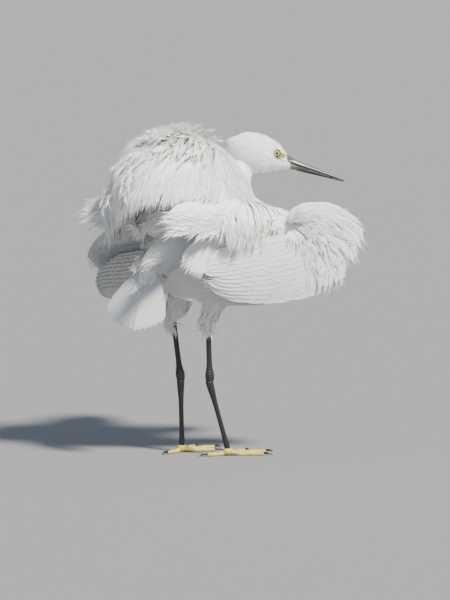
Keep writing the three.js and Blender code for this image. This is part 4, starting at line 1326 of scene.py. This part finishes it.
def lid(name, side):
    bm = bmesh.new()
    ring = head_matrix(spot(0, side * (EYE_SIDE + LID_OUT), 0))
    start = ring @ Matrix.Translation((LID_RING * MM, 0, 0))
    circle = bmesh.ops.create_circle(bm, segments=10, radius=LID_FOLD * MM, matrix=start)
    edges = list({e for v in circle["verts"] for e in v.link_edges})
    bmesh.ops.spin(bm, geom=edges, cent=ring.translation, axis=ring.to_3x3() @ Vector((0, 1, 0)),
                   angle=math.tau, steps=48)
    bmesh.ops.remove_doubles(bm, verts=bm.verts[:], dist=0.00002)
    bmesh.ops.recalc_face_normals(bm, faces=bm.faces[:])
    put_back(bm, in_head(vert_places(bm)) * (LID_LONG, 1, LID_TALL))
    return new_object("lid_" + name, bm)


eye_look = eye_finish()
lid_look, _, _, lid_shader = finish_named("lid_finish", 0.45)
lid_shader.inputs["Base Color"].default_value = (0.20, 0.22, 0.06, 1)
for name, side in SIDES.items():
    dress(eyeball(name, side), eye_look, "eye", "eye_" + name)
    dress(lid(name, side), lid_look, "plumage")
print("the eyes are", round(2 * EYE_SIDE, 1), "mm apart")

# %% [markdown]
# The legs are bare from the hem of the thigh down, black and covered in scutes: plates that lap like
# roof tiles down the front. They are raised as low steps along the loft, and a net of cells in the
# finish gives the small scales between them.

# %% Legs
SCUTE_PITCH, SCUTE_STEP = 3.2, 0.05
# Slices of a leg: share of the way down, half width, half depth.
SHANK_ROWS = [(0, 3.6, 3.8), (0.3, 3.3, 3.5), (0.75, 3.3, 3.8), (0.93, 5, 6.2), (1.04, 4.4, 5.4)]
TARSUS_ROWS = [(-0.05, 4.6, 5.4), (0.08, 4, 4.8), (0.3, 2.9, 3.4), (0.7, 2.8, 3.2), (0.93, 3.4, 3.9),
               (1.02, 3, 3)]


def scute_finish(name, colour, seam, roughness):
    material, nodes, links, shader = finish_named(name, roughness)
    cells = fine_texture(nodes, links, "ShaderNodeTexVoronoi", 420)
    cells.feature = "DISTANCE_TO_EDGE"
    from_edge = cells.outputs["Distance"]
    scales = colour_ramp(nodes, links, from_edge, [(0.0, seam), (0.12, colour), (1.0, colour)])
    links.new(scales, shader.inputs["Base Color"])
    add_relief(nodes, links, shader, from_edge, 0.35)
    return material


def scuted(stations, steps, share=SCUTE_STEP):
    """More stations with a saw-tooth of low steps down the length."""
    s = through(stations, steps)
    walked = np.concatenate([[0], np.cumsum(np.linalg.norm(np.diff(s[:, :3], axis=0), axis=1))])
    s[:, 3:] *= (1 + share * (0.5 - (walked / SCUTE_PITCH) % 1))[:, None]
    return s


def leg_piece(name, top, bottom, rows, steps):
    bm = bmesh.new()
    stations = [[*mix(top, bottom, t), a, b] for t, a, b in rows]
    loft(bm, scuted(stations, steps), around=20, steps=steps, blunt=0.03)
    bmesh.ops.recalc_face_normals(bm, faces=bm.faces[:])
    return new_object(name, bm)


leg_look = scute_finish("leg_finish", (0.022, 0.022, 0.024), (0.008, 0.008, 0.009), 0.42)


def set_leg(name, side):
    p = leg_points(side)
    shank = leg_piece("shank_skin_" + name, p["hem"] + (0, 0, 10), p["ankle"], SHANK_ROWS, 130)
    dress(shank, leg_look, "leg", "shank_" + name)
    tarsus = leg_piece("tarsus_skin_" + name, p["ankle"] - (0, 0, 6), p["foot"], TARSUS_ROWS, 150)
    dress(tarsus, leg_look, "leg", "tarsus_" + name)
    print(name, "tarsus", round(np.linalg.norm(p["ankle"] - p["foot"])), "mm")


print("a scute every", SCUTE_PITCH, "mm")

# %% [markdown]
# The feet hold the weight on four long yellow toes, three ahead and one behind, each with a swelling
# under every joint and a black claw. A toe is a scuted loft, and the four meet in a rounded pad.
# Whatever would sink below the floor is pressed flat on it.

# %% Feet and claws
TOE_AXIS_Z, CLAW_LENGTH = 2.2, 11
# Each toe: angle from straight ahead, length, radius.
TOES = {"middle": (0, 56, 3), "inner": (31, 44, 2.8), "outer": (-29, 47, 2.8), "hind": (172, 29, 2.8)}
# A toe's joints: share of its length and share of its radius.
TOE_JOINTS = [(0.36, 1.14), (0.52, 0.88), (0.68, 1.04), (0.85, 0.76), (1, 0.7)]
PAD = [[-7, 0, 5, 4.5, 4], [0, 0, 5.4, 5.6, 5.2], [8, 0, 4.6, 4.6, 4.2]]


def foot_frame(side):
    turn = np.array(Matrix.Rotation(math.radians(side * 6), 3, "Z"))
    foot = leg_points(side)["foot"] * (1, 1, 0)
    return foot, turn @ np.diag([1, -side, 1])


def toe_line(angle, length, radius):
    a = math.radians(angle)
    rows = [(-1, 5, 1.2), (length * 0.2, 3.4, 1.05)] + [(length * t, TOE_AXIS_Z, w) for t, w in TOE_JOINTS]
    return [[r * math.cos(a), r * math.sin(a), z, radius * w, radius * w] for r, z, w in rows]


def claw_line(angle, length):
    a = math.radians(angle)
    rows = [(length - 3, 2.8, 1.5), (length + CLAW_LENGTH * 0.3, 3.2, 1.5),
            (length + CLAW_LENGTH * 0.7, 2.4, 0.95), (length + CLAW_LENGTH, 0.9, 0.3)]
    return np.array([[r * math.cos(a), r * math.sin(a), z, w * 0.8, w] for r, z, w in rows])


def add_loft(bm, foot, line, across, around, steps, blunt):
    """A loft whose stations are in the foot's own coordinates."""
    line = np.array(line, float)
    line[:, :3] = outward(*foot, line[:, :3])
    loft(bm, line, side=across, around=around, steps=steps, blunt=blunt)


def on_floor(bm):
    for v in bm.verts:
        v.co.z = max(v.co.z, 0)
    bmesh.ops.recalc_face_normals(bm, faces=bm.faces[:])


toe_look = scute_finish("toe_finish", (0.62, 0.50, 0.09), (0.36, 0.27, 0.05), 0.5)
claw_look, _, _, claw_shader = finish_named("claw_finish", 0.3)
claw_shader.inputs["Base Color"].default_value = (0.015, 0.014, 0.014, 1)


def set_foot(name, side):
    foot = foot_frame(side)
    bm = bmesh.new()
    for toe, (angle, length, radius) in TOES.items():
        a = math.radians(angle)
        across = foot[1] @ spot(-math.sin(a), math.cos(a), 0)
        add_loft(bm, foot, scuted(toe_line(angle, length, radius), 60, 0.08), across, 16, 60, 0.05)
        claw = bmesh.new()
        add_loft(claw, foot, claw_line(angle, length), across, 14, 24, 0.06)
        on_floor(claw)
        dress(new_object(f"claw_{toe}_{name}_horn", claw), claw_look, "horn", f"claw_{name}_{toe}")
    add_loft(bm, foot, PAD, (0, 1, 0), 18, 16, 0.3)
    on_floor(bm)
    dress(new_object("foot_skin_" + name, bm), toe_look, "toe", "foot_" + name)


print("middle toe and claw", TOES["middle"][1] + CLAW_LENGTH, "mm")

# %% [markdown]
# Each side is set from the top down, as the weight runs: the bare leg, then the claws and the foot.

# %% Set the legs and feet
for name, side in SIDES.items():
    set_leg(name, side)
    set_foot(name, side)

# %% [markdown]
# A museum's light: a plain pale grey floor, a large warm lamp high on the right, and a cool fill
# all round, so that the white feathers keep their shape in the shade. The lamp is wide enough to
# blur the edges of the shadows, and the floor is a clear step darker than the bird.

# %% Floor and light
FLOOR_GREY = 0.22
SUN_STRENGTH, SUN_WIDTH = 9, math.radians(9)
FILL_STRENGTH, FILL_COLOUR = 0.6, (0.64, 0.77, 0.98, 1)
bm = bmesh.new()
bmesh.ops.create_grid(bm, x_segments=1, y_segments=1, size=60)
floor = new_object("floor", bm)
floor_look, _, _, floor_shader = finish_named("floor_finish", 0.9)
floor_shader.inputs["Base Color"].default_value = (FLOOR_GREY, FLOOR_GREY, FLOOR_GREY, 1)
floor.data.materials.append(floor_look)

sun = bpy.data.objects.new("key", bpy.data.lights.new("key", "SUN"))
sun.data.energy = SUN_STRENGTH
sun.data.angle = SUN_WIDTH
sun.data.color = (1.0, 0.95, 0.86)
sun_way = right * 0.42 + up * 0.72 + back * 0.60
sun.rotation_euler = (-Vector(sun_way)).to_track_quat("-Z", "Y").to_euler()
bpy.context.scene.collection.objects.link(sun)
world = bpy.data.worlds.new("studio")
world.use_nodes = True
world.node_tree.nodes["Background"].inputs["Color"].default_value = FILL_COLOUR
world.node_tree.nodes["Background"].inputs["Strength"].default_value = FILL_STRENGTH
bpy.context.scene.world = world
print("lamp at", round(math.degrees(math.asin(sun_way[2] / np.linalg.norm(sun_way)))), "degrees up")

# %% [markdown]
# Last, the scene is brought up to date.

# %% Update the scene
bpy.context.view_layer.update()
